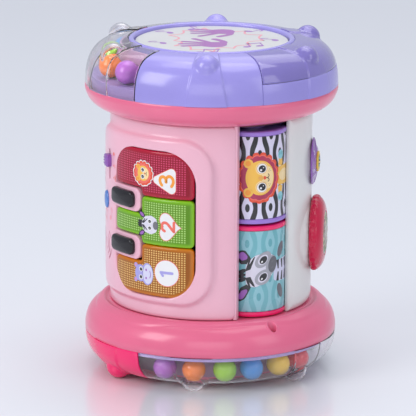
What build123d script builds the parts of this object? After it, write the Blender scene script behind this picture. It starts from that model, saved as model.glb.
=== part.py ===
"""Baby activity drum: a column of activities between two round flanges, in millimetres.

+Z is up and the origin is the middle of the base at floor level. Azimuth 0 faces -Y and grows
towards +X, so azimuth 90 faces +X.
"""

import os
from math import cos, hypot, radians, sin, sqrt

from build123d import *

os.makedirs("parts", exist_ok=True)

# ---------------------------------------------------------------- driving dimensions
FLANGE_R = 105.0  # widest radius, at both seams
BODY_R = 84.0  # outside of the column
PANEL_R = 88.0  # outside of the raised keyboard frame
WALL = 2.5
GAP = 0.3  # usual gap between fitted pieces

BASE_SEAM = 31.0  # pink shell meets base dome
DECK = 57.0  # column stands here
CEILING = 220.0  # column ends here
TOP_SEAM = 240.5  # pink shell meets top dome

# Dome sections as (radius, height from the seam).
TOP_DOME = [(105, 0), (104.6, 8), (102.8, 18), (99, 26), (93, 31.6), (84, 35), (69, 36.8)]
BASE_DOME = [(105, 0), (104.4, 7), (101.8, 14.5), (97.4, 20.2), (91.5, 24.6), (84, 26.6), (75, 27)]
DOME_WALL = 1.6
BASE_BUMPS = (-183, -123, -50, -2, 57, 117)  # azimuths of the feet
TOP_BUMPS = (-116, -56, 4, 64, 124, 184)
BUMP_AT_R = 90.5
BUMP_R = 10.5
TOP_BUMP_Z = 270.0
FOOT_Z = 10.0
BAND_HALF = 9.0  # half angle of the raised band under each bump
BAND_RISE = 1.2
SEAM_GAP = 0.15  # angular gap between dome sectors, degrees

BALL_R = 9.8
TRACK_R = 87.0
BASE_BALL_Z = 17.0
TOP_BALL_Z = 258.4
BASE_BALLS = {"purple": -18.5, "orange": -2.2, "green": 14.5, "blue": 29.5, "yellow": 46.5, "red": 62.3}
TOP_BALLS = {"purple": -45.5, "orange": -65.0, "green": -101.0, "blue": -116.0, "yellow": -130.5}

# Column shells, as azimuths of their edges.
FRONT_SPAN = (-95.0, 21.0)
SIDE_SPAN = (57.0, 123.0)
BACK_SPAN = (123.3, 264.7)
SHELL_LOW = DECK + 0.4
SHELL_HIGH = CEILING - 0.4

# Keyboard.
FRAME_SPAN = (-88.0, 8.0)
FRAME_Z = (69.5, 208.5)
OPENING_SPAN = (-57.0, -1.6)
OPENING_Z = (75.0, 198.0)
OPENING_CORNER = 28.0
KEY_TOP_R = 87.4
KEY_UNDER_R = 83.4
KEY_SPLITS = (118.4, 158.4)  # heights between orange and green, green and red
KEY_AZ = -29.3
BLACK_KEY_Z = (114.0, 154.0)
BLACK_KEY_SPAN = (-57.8, -38.4)
BLACK_KEY_TALL = 13.7
PENINSULA_TALL = 20.0
PENINSULA_END = -34.6
HINGE_AZ, HINGE_R, HINGE_PIN_R = -58.5, 77.5, 1.5

# Rollers.
ROLLER_AZ, ROLLER_AT_R, ROLLER_R = 43.0, 55.5, 29.0
ROLLER_Z = ((58.0, 134.6), (136.2, 213.6))
ROLLER_RIM = 4.0
AXLE_R = 3.0

# Controls.
SLIDER_AZ, SLIDER_Z, SLOT_Z, SLOT_TALL = -65.3, 179.5, 176.5, 26.0
BUTTON_AZ, BUTTON_Z = -71.0, 144.6
GRILLE_AZ, GRILLE_Z = -72.0, 107.0
SPEAKER_AZ, SPEAKER_R = -75.5, 15.0
CONTROL_AZ = -68.0

# White side panel.
SPINNER_Z, SPINNER_R = 175.7, 19.8
DIAL_Z, DIAL_R = 114.8, 31.0
SEAT_X = 84.3  # flat round bosses of the side panel, which the side toys turn on

# Drum pad.
PAD_R, PAD_TOP = 63.6, 275.5
RIM_IN, RIM_OUT, RIM_TOP = 64.2, 69.0, 278.2
WELL_LOW, WELL_HIGH = 262.0, 264.0
PAD_GUIDE_AZ, PAD_GUIDE_AT_R, PAD_GUIDE_R = (0.0, 120.0, 240.0), 50.0, 3.0

SCREW_R, SCREW_HEAD_R, SCREW_LONG = 1.5, 3.0, 22.0
HEAD_TALL = 2.2
CASE_SCREW_COUNT = 6
CORE_SCREW_AZ, CORE_SCREW_AT_R = (142.0, 194.0, 246.0), 44.0
BASE_SCREW_AT_R, TOP_SCREW_AT_R = 66.0, 58.0


# ---------------------------------------------------------------- helpers
def around(azimuth, radius, z=0.0):
    """The point at an azimuth, a radius and a height."""
    a = radians(azimuth)
    return Vector(radius * sin(a), -radius * cos(a), z)


def radial_plane(azimuth):
    """The half-plane through the Z axis: x runs outwards, y runs up."""
    a = radians(azimuth)
    return Plane(origin=(0, 0, 0), x_dir=(sin(a), -cos(a), 0), z_dir=(-cos(a), -sin(a), 0))


def facing_plane(azimuth, distance, z=0.0):
    """A plane that faces outwards at an azimuth: x runs along growing azimuth, y runs up."""
    a = radians(azimuth)
    return Plane(origin=around(azimuth, distance, z), x_dir=(cos(a), sin(a), 0), z_dir=(sin(a), -cos(a), 0))


def ring(inner, outer, low, high, span=(0.0, 360.0), mode=Mode.ADD):
    """Adds a ring, or a sector of one, to the part in hand."""
    with BuildSketch(radial_plane(span[0]), mode=Mode.PRIVATE) as section:
        with Locations(((inner + outer) / 2, (low + high) / 2)):
            Rectangle(outer - inner, high - low)
    return revolve(section.sketch, axis=Axis.Z, revolution_arc=span[1] - span[0], mode=mode)


def turned(points, start=0.0, arc=360.0, mode=Mode.ADD):
    """Adds the solid swept by a straight-sided outline of (radius, height) points."""
    with BuildSketch(radial_plane(start), mode=Mode.PRIVATE) as section:
        with BuildLine():
            Polyline(*points, close=True)
        make_face()
    return revolve(section.sketch, axis=Axis.Z, revolution_arc=arc, mode=mode)


def shifted(curve, amount):
    """A dome curve moved outwards by an amount, or inwards by a negative one."""
    moved = []
    for i, (r, h) in enumerate(curve):
        r0, h0 = curve[max(i - 1, 0)]
        r1, h1 = curve[min(i + 1, len(curve) - 1)]
        length = hypot(r1 - r0, h1 - h0)
        moved.append((r + amount * (h1 - h0) / length, h - amount * (r1 - r0) / length))
    return moved


def dome(curve, seam, side, span, outer=0.0, inner=-DOME_WALL, mode=Mode.ADD):
    """Adds a sector of a domed shell between two offsets of its curve, run on a little past the seam."""
    outside, inside = ([(r, seam + side * h) for r, h in shifted(curve, by)] for by in (outer, inner))
    foot = seam - side * 2.0
    with BuildSketch(radial_plane(span[0]), mode=Mode.PRIVATE) as section:
        with BuildLine():
            Spline(*outside)
            Spline(*inside)
            Polyline(outside[0], (outside[0][0], foot), (inside[0][0], foot), inside[0])
            Line(outside[-1], inside[-1])
        make_face()
    return revolve(section.sketch, axis=Axis.Z, revolution_arc=span[1] - span[0], mode=mode)


def dome_hollow(curve, seam, side, span, mode=Mode.SUBTRACT):
    """Removes what lies inside a domed shell."""
    points = [(r, seam + side * h) for r, h in shifted(curve, -DOME_WALL)]
    under = seam - side * 5.0
    with BuildSketch(radial_plane(span[0]), mode=Mode.PRIVATE) as section:
        with BuildLine():
            inside = Spline(*points)
            Polyline(inside @ 1, (points[-1][0], under), (points[0][0], under), inside @ 0)
        make_face()
    return revolve(section.sketch, axis=Axis.Z, revolution_arc=span[1] - span[0], mode=mode)


def bumps_between(side, start, end):
    """The azimuths of the bumps that a dome sector carries."""
    return [a for a in (TOP_BUMPS if side > 0 else BASE_BUMPS) if start < a < end]


def banded_dome(curve, seam, side, span):
    """Adds a domed sector with the raised bands that its bumps stand on."""
    start = span[0]
    for azimuth in bumps_between(side, *span):
        dome(curve, seam, side, (start, azimuth - BAND_HALF))
        dome(curve, seam, side, (azimuth - BAND_HALF, azimuth + BAND_HALF), outer=BAND_RISE)
        start = azimuth + BAND_HALF
    dome(curve, seam, side, (start, span[1]))


def bumped_dome(curve, seam, side, span, bump_z):
    """Adds a domed sector with its raised bands and its hollow round bumps."""
    banded_dome(curve, seam, side, span)
    for azimuth in bumps_between(side, *span):
        with Locations(around(azimuth, BUMP_AT_R, bump_z)):
            Sphere(BUMP_R)
    dome_hollow(curve, seam, side, span)
    for azimuth in bumps_between(side, *span):
        with Locations(around(azimuth, BUMP_AT_R, bump_z)):
            Sphere(BUMP_R - 1.8, mode=Mode.SUBTRACT)
    ring(80.0, 120.0, *sorted((seam, seam - side * 5.0)), mode=Mode.SUBTRACT)


def post(azimuth, radius, low, high, size, mode=Mode.ADD):
    """Adds an upright cylinder."""
    with Locations(around(azimuth, radius, (low + high) / 2)):
        Cylinder(size, high - low, mode=mode)


def block(plane, wide, tall, near, far, mode=Mode.ADD):
    """Adds a box that stands on a facing plane, from near to far along its normal."""
    with BuildSketch(plane.offset(near), mode=Mode.PRIVATE) as section:
        Rectangle(wide, tall)
    extrude(section.sketch, amount=far - near, mode=mode)


def disc(plane, size, near, far, mode=Mode.ADD):
    """Adds a cylinder that stands on a facing plane, from near to far along its normal."""
    with BuildSketch(plane.offset(near), mode=Mode.PRIVATE) as section:
        Circle(size)
    extrude(section.sketch, amount=far - near, mode=mode)


def radial_edges(part):
    """The straight level edges of a ring sector, which are its corners."""
    return [e for e in part.edges().filter_by(GeomType.LINE) if abs((e @ 0).Z - (e @ 1).Z) < 0.01]


def save(piece, label):
    """Names a finished piece and writes it to its own file."""
    piece.part.label = label
    export_step(piece.part, f"parts/{label}.step")


CASE_SCREW_AZ = [30 + 360 / CASE_SCREW_COUNT * i for i in range(CASE_SCREW_COUNT)]

# ---------------------------------------------------------------- base
SHOULDER = [(105, 37), (102.8, 45.5), (98.2, 51.8), (91.5, 56.6)]
INNER_SHOULDER = [(102.5, 37), (100.4, 44.5), (96.4, 49.9), (90.4, DECK - WALL)]
LANYARD_AZ, LANYARD_AT_R, LANYARD_R = 38.0, 97.0, 3.6

with BuildPart() as base_flange:
    with BuildSketch(radial_plane(0), mode=Mode.PRIVATE) as flange_section:
        with BuildLine():
            outside = Spline(*SHOULDER, tangents=[(0, 1), (-1, 0.5)])
            lip = [(89.5, 57.2), (87.2, 56.0), (84.8, 56.0), (84.3, DECK)]
            crest = Polyline(outside @ 1, *lip, (16, DECK))
            under = Polyline(crest @ 1, (16, DECK - WALL), INNER_SHOULDER[-1])
            inside = Spline(*reversed(INNER_SHOULDER), tangents=[(1, -0.5), (0, -1)])
            Polyline(inside @ 1, (102.5, BASE_SEAM), (FLANGE_R, BASE_SEAM), outside @ 0)
        make_face()
    revolve(flange_section.sketch, axis=Axis.Z)
    for azimuth in CASE_SCREW_AZ:
        post(azimuth, BASE_SCREW_AT_R, 6.6, DECK - 1, 4.0)
        post(azimuth, BASE_SCREW_AT_R, 6.0, 32.0, SCREW_R + 0.05, mode=Mode.SUBTRACT)
    for azimuth in CORE_SCREW_AZ:
        post(azimuth, CORE_SCREW_AT_R, 50.0, 60.0, SCREW_R + 0.2, mode=Mode.SUBTRACT)
    post(LANYARD_AZ, LANYARD_AT_R, 35.0, 70.0, LANYARD_R, mode=Mode.SUBTRACT)
save(base_flange, "base_flange")

with BuildPart() as base_ball_tray:
    ring(73.0, 102.2, 27.6, 30.6)
    ring(73.0, 75.0, 6.6, 28.0)
save(base_ball_tray, "base_ball_tray")

BASE_CLEAR_SPAN = (-28 + SEAM_GAP, 152 - SEAM_GAP)
BASE_PINK_SPAN = (-208 + SEAM_GAP, -28 - SEAM_GAP)

for label, span in {"base_window_clear": BASE_CLEAR_SPAN, "base_cover_pink": BASE_PINK_SPAN}.items():
    with BuildPart() as base_dome:
        bumped_dome(BASE_DOME, BASE_SEAM, -1, span, FOOT_Z)
        ring(0.0, 120.0, -5.0, 0.0, mode=Mode.SUBTRACT)
    save(base_dome, label)

BATTERY_R, BATTERY_LONG, BATTERY_PITCH, BATTERY_Z = 7.25, 50.0, 15.2, 15.0
BAY_LONG, BAY_WIDE, BAY_TOP = 59.0, 46.4, 23.5
PLATE_LOW, PLATE_HIGH = 4.0, 6.5
DOOR_SCREW_Y = -27.5

with BuildPart() as base_bottom_plate:
    ring(0.0, 74.7, PLATE_LOW, PLATE_HIGH)
    with BuildSketch(Plane.XY.offset(PLATE_LOW + 1)):
        Rectangle(BAY_LONG + 4, BAY_WIDE + 4)
    extrude(amount=BAY_TOP + 2 - PLATE_LOW - 1)
    post(0, -DOOR_SCREW_Y, PLATE_LOW, 17.0, 4.5)
    with BuildSketch(Plane.XY):
        Rectangle(BAY_LONG, BAY_WIDE)
    extrude(amount=BAY_TOP, mode=Mode.SUBTRACT)
    with BuildSketch(Plane.XY):
        with Locations((0, DOOR_SCREW_Y + 5)):
            Rectangle(9.6, 8.6)
    extrude(amount=PLATE_HIGH, mode=Mode.SUBTRACT)
    post(0, -DOOR_SCREW_Y, 0.0, PLATE_HIGH, 5.3, mode=Mode.SUBTRACT)
    post(0, -DOOR_SCREW_Y, 0.0, 20.0, SCREW_R + 0.05, mode=Mode.SUBTRACT)
    for azimuth in CASE_SCREW_AZ:
        post(azimuth, BASE_SCREW_AT_R, 0.0, 20.0, SCREW_R + 0.2, mode=Mode.SUBTRACT)
        post(azimuth, BASE_SCREW_AT_R, 0.0, PLATE_LOW + 1.2, SCREW_HEAD_R + 0.3, mode=Mode.SUBTRACT)
save(base_bottom_plate, "base_bottom_plate")

with BuildPart() as battery_door:
    with BuildSketch(Plane.XY.offset(PLATE_LOW)):
        Rectangle(BAY_LONG - 2 * GAP, BAY_WIDE - 2 * GAP)
        fillet(vertices(), 2.0)
        with Locations((0, DOOR_SCREW_Y)):
            Circle(5.0)
        with Locations((0, DOOR_SCREW_Y + 5)):
            Rectangle(9.0, 8.0)
    extrude(amount=PLATE_HIGH - PLATE_LOW - 0.1)
    with BuildSketch(Plane.XY.offset(PLATE_LOW)):
        with GridLocations(0, 5.0, 1, 5):
            SlotOverall(26.0, 1.6)
    extrude(amount=0.6, mode=Mode.SUBTRACT)
    post(0, -DOOR_SCREW_Y, 0.0, 10.0, SCREW_R + 0.2, mode=Mode.SUBTRACT)
    post(0, -DOOR_SCREW_Y, 0.0, PLATE_LOW + 1.4, SCREW_HEAD_R + 0.2, mode=Mode.SUBTRACT)
save(battery_door, "battery_door")

with BuildPart() as batteries:
    for row in (-1, 0, 1):
        turn = 1 if row == 0 else -1
        with Locations(Location((0, row * BATTERY_PITCH, BATTERY_Z), (0, 90, 0))):
            Cylinder(BATTERY_R, BATTERY_LONG)
        nipple_x = turn * (BATTERY_LONG / 2 + 0.5)
        with Locations(Location((nipple_x, row * BATTERY_PITCH, BATTERY_Z), (0, 90, 0))):
            Cylinder(2.7, 1.0)
save(batteries, "batteries")

with BuildPart() as battery_contacts:
    for end in (-1, 1):
        for row in (-1, 0, 1):
            with Locations((end * (BAY_LONG / 2 - 0.4), row * BATTERY_PITCH, BATTERY_Z)):
                Box(0.6, 11.0, 11.0)
save(battery_contacts, "battery_contacts")

for colour, azimuth in BASE_BALLS.items():
    with BuildPart() as ball:
        with Locations(around(azimuth, TRACK_R, BASE_BALL_Z)):
            Sphere(BALL_R)
    save(ball, f"base_ball_{colour}")

# ---------------------------------------------------------------- column shells
with BuildPart() as raised_frame:
    ring(80.0, PANEL_R, *FRAME_Z, FRAME_SPAN)
    fillet(radial_edges(raised_frame), 26.0)

with BuildPart() as key_opening:
    ring(70.0, 95.0, *OPENING_Z, OPENING_SPAN)
    fillet(radial_edges(key_opening), OPENING_CORNER)

with BuildPart() as front_shell:
    ring(BODY_R - WALL, BODY_R, SHELL_LOW, SHELL_HIGH, FRONT_SPAN)
    add(raised_frame.part)
    ring(0.0, BODY_R - WALL, SHELL_LOW, SHELL_HIGH, mode=Mode.SUBTRACT)
    # The wall that turns inwards beside the rollers.
    with BuildSketch(Plane.XY.offset(SHELL_LOW)):
        with BuildLine():
            edge = around(FRONT_SPAN[1], BODY_R)
            back = around(FRONT_SPAN[1] - 1.8, BODY_R - 1)
            Polyline((edge.X, edge.Y), (31.6, -71.2), (29.1, -70.8), (back.X, back.Y), close=True)
        make_face()
    extrude(amount=SHELL_HIGH - SHELL_LOW)
    add(key_opening.part, mode=Mode.SUBTRACT)
    for z in BLACK_KEY_Z:
        ring(BODY_R - WALL, PANEL_R, z - PENINSULA_TALL / 2, z + PENINSULA_TALL / 2, (-60.0, PENINSULA_END))
    # Ribs that hold the hinge pin of the keys.
    for z in (82.0, 114.0, 154.0, 188.0):
        ring(HINGE_R - 3.2, BODY_R - 1.5, z - 2, z + 2, (HINGE_AZ - 2.4, HINGE_AZ + 2.0))
    post(HINGE_AZ, HINGE_R, 70.0, 200.0, HINGE_PIN_R + 0.02, mode=Mode.SUBTRACT)
    # Slot, button hole and grille.
    block(facing_plane(SLIDER_AZ, 0, SLOT_Z), 3.6, SLOT_TALL, 75, 95, mode=Mode.SUBTRACT)
    with BuildSketch(facing_plane(BUTTON_AZ, 75, BUTTON_Z)):
        Ellipse(6.4, 7.8)
    extrude(amount=20, mode=Mode.SUBTRACT)
    with BuildSketch(facing_plane(GRILLE_AZ, 75, GRILLE_Z)):
        for reach in (5.0, 9.5, 14.0):
            for side in (0, 180):
                SlotArc(CenterArc((0, 0), reach, side - 52, 104), 1.8)
    extrude(amount=20, mode=Mode.SUBTRACT)
save(front_shell, "body_front_shell")

with BuildPart() as back_frame:
    ring(80.0, BODY_R + 1.6, *FRAME_Z, (148.0, 240.0))
    fillet(radial_edges(back_frame), 26.0)

BACK_SCREWS = [(azimuth, z) for azimuth in (140.0, 248.0) for z in (66.5, 211.5)]

with BuildPart() as back_shell:
    ring(BODY_R - WALL, BODY_R, SHELL_LOW, SHELL_HIGH, BACK_SPAN)
    add(back_frame.part)
    ring(0.0, BODY_R - WALL, SHELL_LOW, SHELL_HIGH, mode=Mode.SUBTRACT)
    for azimuth, z in BACK_SCREWS:
        plane = facing_plane(azimuth, 0, z)
        disc(plane, 5.0, 77.2, BODY_R - 1)
        disc(plane, SCREW_HEAD_R + 0.4, 79.0, 95.0, mode=Mode.SUBTRACT)
        disc(plane, SCREW_R + 0.2, 70.0, 95.0, mode=Mode.SUBTRACT)
save(back_shell, "body_back_shell")

with BuildPart() as side_panel:
    ring(BODY_R - WALL, BODY_R, SHELL_LOW, SHELL_HIGH, SIDE_SPAN)
    for z, size in ((SPINNER_Z, SPINNER_R - 3.0), (DIAL_Z, DIAL_R - 3.0)):
        plane = facing_plane(90, 0, z)
        disc(plane, size, 76.0, SEAT_X)
        disc(plane, size - WALL, 70.0, SEAT_X - WALL, mode=Mode.SUBTRACT)
        disc(plane, 5.0, 70.0, SEAT_X)
        disc(plane, AXLE_R + 0.02, 60.0, 95.0, mode=Mode.SUBTRACT)
    ring(BODY_R - WALL - 12, BODY_R - WALL, SHELL_LOW, SHELL_HIGH, (50.0, SIDE_SPAN[0]), mode=Mode.SUBTRACT)
save(side_panel, "side_panel")

SHELF_SPAN = (130.0, 258.0)
with BuildPart() as core_frame:
    ring(10.0, 14.0, DECK + 0.2, CEILING - 0.2)
    for low, foot, head in ((60.0, DECK + 0.1, 68.0), (214.5, 209.0, CEILING - 0.1)):
        ring(12.0, 74.0, low, low + 3.0, SHELF_SPAN)
        for azimuth in CORE_SCREW_AZ:
            post(azimuth, CORE_SCREW_AT_R, foot, head, 4.5)
            post(azimuth, CORE_SCREW_AT_R, foot, head, SCREW_R + 0.05, mode=Mode.SUBTRACT)
    for azimuth, z in BACK_SCREWS:
        plane = facing_plane(azimuth, 0, z)
        block(plane, 9.0, 9.0, 58.0, 77.0)
        disc(plane, SCREW_R + 0.05, 56.0, 80.0, mode=Mode.SUBTRACT)
save(core_frame, "core_frame")

# ---------------------------------------------------------------- keyboard
KEYS = {
    "key_orange": (OPENING_Z[0], KEY_SPLITS[0], 94.0),
    "key_green": (KEY_SPLITS[0], KEY_SPLITS[1], 134.5),
    "key_red": (KEY_SPLITS[1], OPENING_Z[1], 173.5),
}
BOARD_AT = 62.0
PLUNGER_X = 18.0

with BuildPart() as keyboard_blank:
    ring(70.0, 95.0, OPENING_Z[0] + 0.5, OPENING_Z[1] - 0.5, (OPENING_SPAN[0] + 0.4, OPENING_SPAN[1] - 1.1))
    fillet(radial_edges(keyboard_blank), OPENING_CORNER - 0.5)
    ring(KEY_UNDER_R, KEY_TOP_R, *OPENING_Z, mode=Mode.INTERSECT)

for label, (low, high, middle) in KEYS.items():
    with BuildPart() as key:
        add(keyboard_blank.part)
        ring(80.0, 95.0, 60.0, low + GAP, (-70.0, 10.0), mode=Mode.SUBTRACT)
        ring(80.0, 95.0, high - GAP, 210.0, (-70.0, 10.0), mode=Mode.SUBTRACT)
        for z in BLACK_KEY_Z:
            reach = PENINSULA_TALL / 2 + 0.6
            ring(80.0, 95.0, z - reach, z + reach, (-62.0, PENINSULA_END + 0.5), mode=Mode.SUBTRACT)
        ring(KEY_UNDER_R - 4.0, KEY_UNDER_R + 0.6, middle - 5.5, middle + 5.5, (-53.0, -49.0))
        ring(75.5, 80.6, middle - 5.5, middle + 5.5, (HINGE_AZ, -49.0))
        post(HINGE_AZ, HINGE_R, middle - 5.5, middle + 5.5, 3.0)
        post(HINGE_AZ, HINGE_R, middle - 6, middle + 6, HINGE_PIN_R + 0.05, mode=Mode.SUBTRACT)
        with BuildSketch(facing_plane(KEY_AZ, 70.4, middle)):
            with Locations((PLUNGER_X, 0)):
                Circle(2.8)
        extrude(amount=12.0)
    save(key, label)

with BuildPart() as key_hinge_pin:
    post(HINGE_AZ, HINGE_R, 79.0, 191.0, HINGE_PIN_R)
save(key_hinge_pin, "key_hinge_pin")

with BuildPart() as key_switch_domes:
    for _, _, middle in KEYS.values():
        with BuildSketch(facing_plane(KEY_AZ, BOARD_AT + 1.6, middle)):
            with Locations((PLUNGER_X, 0)):
                Circle(5.5)
        extrude(amount=5.0, taper=20)
save(key_switch_domes, "key_switch_domes")

with BuildPart() as main_board:
    block(facing_plane(KEY_AZ, BOARD_AT, 136.5), 56.0, 116.0, 0, 1.6)
    for x, z, wide, tall in ((-14, 20, 14, 14), (-12, -25, 8, 12), (-16, -5, 6, 6)):
        origin = facing_plane(KEY_AZ, BOARD_AT, 136.5)
        chip = Plane(origin.from_local_coords((x, z, 0)), x_dir=origin.x_dir, z_dir=origin.z_dir)
        block(chip, wide, tall, -2.2, 0)
save(main_board, "main_board")

with BuildPart() as black_keys:
    for z in BLACK_KEY_Z:
        with BuildPart(mode=Mode.PRIVATE) as black_key:
            ring(PANEL_R, PANEL_R + 4.2, z - BLACK_KEY_TALL / 2, z + BLACK_KEY_TALL / 2, BLACK_KEY_SPAN)
            fillet(radial_edges(black_key), 4.5)
            outer = black_key.faces().filter_by(GeomType.CYLINDER).sort_by(SortBy.AREA)[-1]
            fillet(outer.edges(), 1.4)
        add(black_key.part)
save(black_keys, "black_keys")

# ---------------------------------------------------------------- controls and sound
with BuildPart() as power_slider:
    knob_plane = facing_plane(SLIDER_AZ, 0, SLIDER_Z)
    block(knob_plane, 9.0, 11.0, PANEL_R + 0.4, PANEL_R + 4.4)
    fillet(power_slider.edges().filter_by(lambda e: abs(e.center().Z - SLIDER_Z) < 6), 1.2)
    block(knob_plane, 3.0, 8.0, 74.2, PANEL_R + 1)
    block(knob_plane, 8.0, 12.0, 77.5, 79.5)
save(power_slider, "power_slider")

with BuildPart() as mode_button:
    with BuildSketch(facing_plane(BUTTON_AZ, 79.0, BUTTON_Z)):
        Ellipse(6.0, 7.4)
    extrude(amount=PANEL_R + 2.2 - 79.0)
    fillet(mode_button.faces().sort_by(lambda f: f.center().dot(around(BUTTON_AZ, 1)))[-1].edges(), 1.4)
    with BuildSketch(facing_plane(BUTTON_AZ, 77.8, BUTTON_Z)):
        Ellipse(7.6, 9.0)
    extrude(amount=1.4)
save(mode_button, "mode_button")

with BuildPart() as control_board:
    block(facing_plane(CONTROL_AZ, 66.0, 163.0), 26.0, 62.0, 0, 1.6)
    block(facing_plane(CONTROL_AZ, 67.4, SLOT_Z), 10.0, 22.0, 0, 4.2)
    disc(facing_plane(BUTTON_AZ, 0, BUTTON_Z), 3.6, 67.0, 75.4)
save(control_board, "control_board")

with BuildPart() as speaker_frame:
    speaker_plane = facing_plane(SPEAKER_AZ, 0, GRILLE_Z)
    disc(speaker_plane, SPEAKER_R, 68.0, 78.2)
    disc(speaker_plane, SPEAKER_R - 1.4, 69.4, 80.0, mode=Mode.SUBTRACT)
    disc(speaker_plane, 9.0, 60.0, 68.5)
save(speaker_frame, "speaker_frame")

with BuildPart() as speaker_cone:
    with BuildSketch(facing_plane(SPEAKER_AZ, 70.2, GRILLE_Z)):
        Circle(5.0)
    with BuildSketch(facing_plane(SPEAKER_AZ, 77.0, GRILLE_Z)):
        Circle(13.0)
    loft()
    with BuildSketch(facing_plane(SPEAKER_AZ, 71.2, GRILLE_Z)):
        Circle(4.6)
    with BuildSketch(facing_plane(SPEAKER_AZ, 78.0, GRILLE_Z)):
        Circle(13.0)
    loft(mode=Mode.SUBTRACT)
save(speaker_cone, "speaker_cone")

# ---------------------------------------------------------------- rollers
roller_axis = around(ROLLER_AZ, ROLLER_AT_R)
BAY_IN, BAY_OUT = 31.0, 33.0
BAY_FROM, BAY_TURN = 5.0, 244.0

with BuildPart() as roller_bay:
    with BuildSketch(Plane.XY.offset(DECK + 0.3)):
        with BuildLine():
            centre = (roller_axis.X, roller_axis.Y)
            wide_arc = CenterArc(centre, BAY_OUT, BAY_FROM, BAY_TURN)
            tight_arc = CenterArc(centre, BAY_IN, BAY_FROM, BAY_TURN)
            Line(wide_arc @ 0, tight_arc @ 0)
            Line(wide_arc @ 1, tight_arc @ 1)
        make_face()
    extrude(amount=CEILING - DECK - 0.6)
    post(ROLLER_AZ, ROLLER_AT_R, CEILING - 2.1, CEILING - 0.3, BAY_IN + 0.5)
    ring(BODY_R - WALL - 1.0, 100.0, CEILING - 5.0, CEILING, mode=Mode.SUBTRACT)
    post(ROLLER_AZ, ROLLER_AT_R, 50.0, 230.0, AXLE_R + 0.02, mode=Mode.SUBTRACT)
save(roller_bay, "roller_bay")


with BuildPart() as roller_axle:
    post(ROLLER_AZ, ROLLER_AT_R, DECK + 0.2, CEILING - 0.2, AXLE_R)
save(roller_axle, "roller_axle")

with BuildPart() as roller_washers:
    for low, high in ((57.1, 57.8), (134.95, 135.85), (213.9, 217.6)):
        post(ROLLER_AZ, ROLLER_AT_R, low, high, 6.0)
        post(ROLLER_AZ, ROLLER_AT_R, low, high, AXLE_R + 0.02, mode=Mode.SUBTRACT)
save(roller_washers, "roller_washers")

for label, (low, high) in {"roller_lower": ROLLER_Z[0], "roller_upper": ROLLER_Z[1]}.items():
    with BuildPart() as roller:
        post(ROLLER_AZ, ROLLER_AT_R, low, high, ROLLER_R - 1.2)
        for z in (low, high - ROLLER_RIM):
            post(ROLLER_AZ, ROLLER_AT_R, z, z + ROLLER_RIM, ROLLER_R)
        fillet(roller.edges().filter_by(GeomType.CIRCLE).group_by(Axis.Z)[0], 1.2)
        fillet(roller.edges().filter_by(GeomType.CIRCLE).group_by(Axis.Z)[-1], 1.2)
        post(ROLLER_AZ, ROLLER_AT_R, low - 1, high + 1, AXLE_R + 0.06, mode=Mode.SUBTRACT)
    save(roller, label)

    with BuildPart() as sleeve:
        post(ROLLER_AZ, ROLLER_AT_R, low + ROLLER_RIM + GAP, high - ROLLER_RIM - GAP, ROLLER_R - 0.4)
        post(ROLLER_AZ, ROLLER_AT_R, low, high, ROLLER_R - 1.16, mode=Mode.SUBTRACT)
    save(sleeve, f"{label}_print")

# ---------------------------------------------------------------- spinner and dial
with BuildPart() as side_axles:
    for z in (SPINNER_Z, DIAL_Z):
        disc(facing_plane(90, 0, z), AXLE_R, 68.0, 87.0)
save(side_axles, "side_axles")

SPINNER_HALF = [(84.7, 0), (84.7, 18.6), (85.1, SPINNER_R), (85.9, 19.3), (88.4, 10), (88.6, 8), (88.6, 0)]

with BuildPart() as spinner:
    with BuildSketch(Plane.XZ.offset(0)):
        with BuildLine():
            Polyline(*[(x, SPINNER_Z + r) for x, r in SPINNER_HALF], close=True)
        make_face()
    revolve(axis=Axis((0, 0, SPINNER_Z), (1, 0, 0)))
    disc(facing_plane(90, 0, SPINNER_Z), AXLE_R + 0.06, 80.0, 87.2, mode=Mode.SUBTRACT)
save(spinner, "spinner")

with BuildPart() as spinner_cap:
    disc(facing_plane(90, 0, SPINNER_Z), 8.6, 88.6, 90.4)
    fillet(spinner_cap.faces().sort_by(Axis.X)[-1].edges(), 1.0)
save(spinner_cap, "spinner_cap")

DIAL_HALF = [(84.7, 0), (84.7, 30), (86, DIAL_R), (88.4, 30.4), (91.4, 27.6), (93.6, 24.4), (94.2, 23.6)]

with BuildPart() as dial:
    with BuildSketch(Plane.XZ.offset(0)):
        with BuildLine():
            recess = [(93.6, DIAL_Z + 23), (93.6, DIAL_Z)]
            Polyline(*[(x, DIAL_Z + r) for x, r in DIAL_HALF], *recess, close=True)
        make_face()
    revolve(axis=Axis((0, 0, DIAL_Z), (1, 0, 0)))
    with Locations(facing_plane(90, 94.4, DIAL_Z)):
        with PolarLocations(DIAL_R + 3.5, 10):
            Sphere(6.5, mode=Mode.SUBTRACT)
    disc(facing_plane(90, 0, DIAL_Z), 25.0, 80.0, 91.2, mode=Mode.SUBTRACT)
    disc(facing_plane(90, 0, DIAL_Z), 6.5, 84.9, 91.6)
    disc(facing_plane(90, 0, DIAL_Z), AXLE_R + 0.06, 80.0, 87.2, mode=Mode.SUBTRACT)
save(dial, "dial")

with BuildPart() as dial_face:
    disc(facing_plane(90, 0, DIAL_Z), 22.6, 93.6, 95.0)
    fillet(dial_face.faces().sort_by(Axis.X)[-1].edges(), 0.8)
save(dial_face, "dial_face")

# ---------------------------------------------------------------- top
TRAY_TOP = TOP_BALL_Z - BALL_R - 0.2

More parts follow.
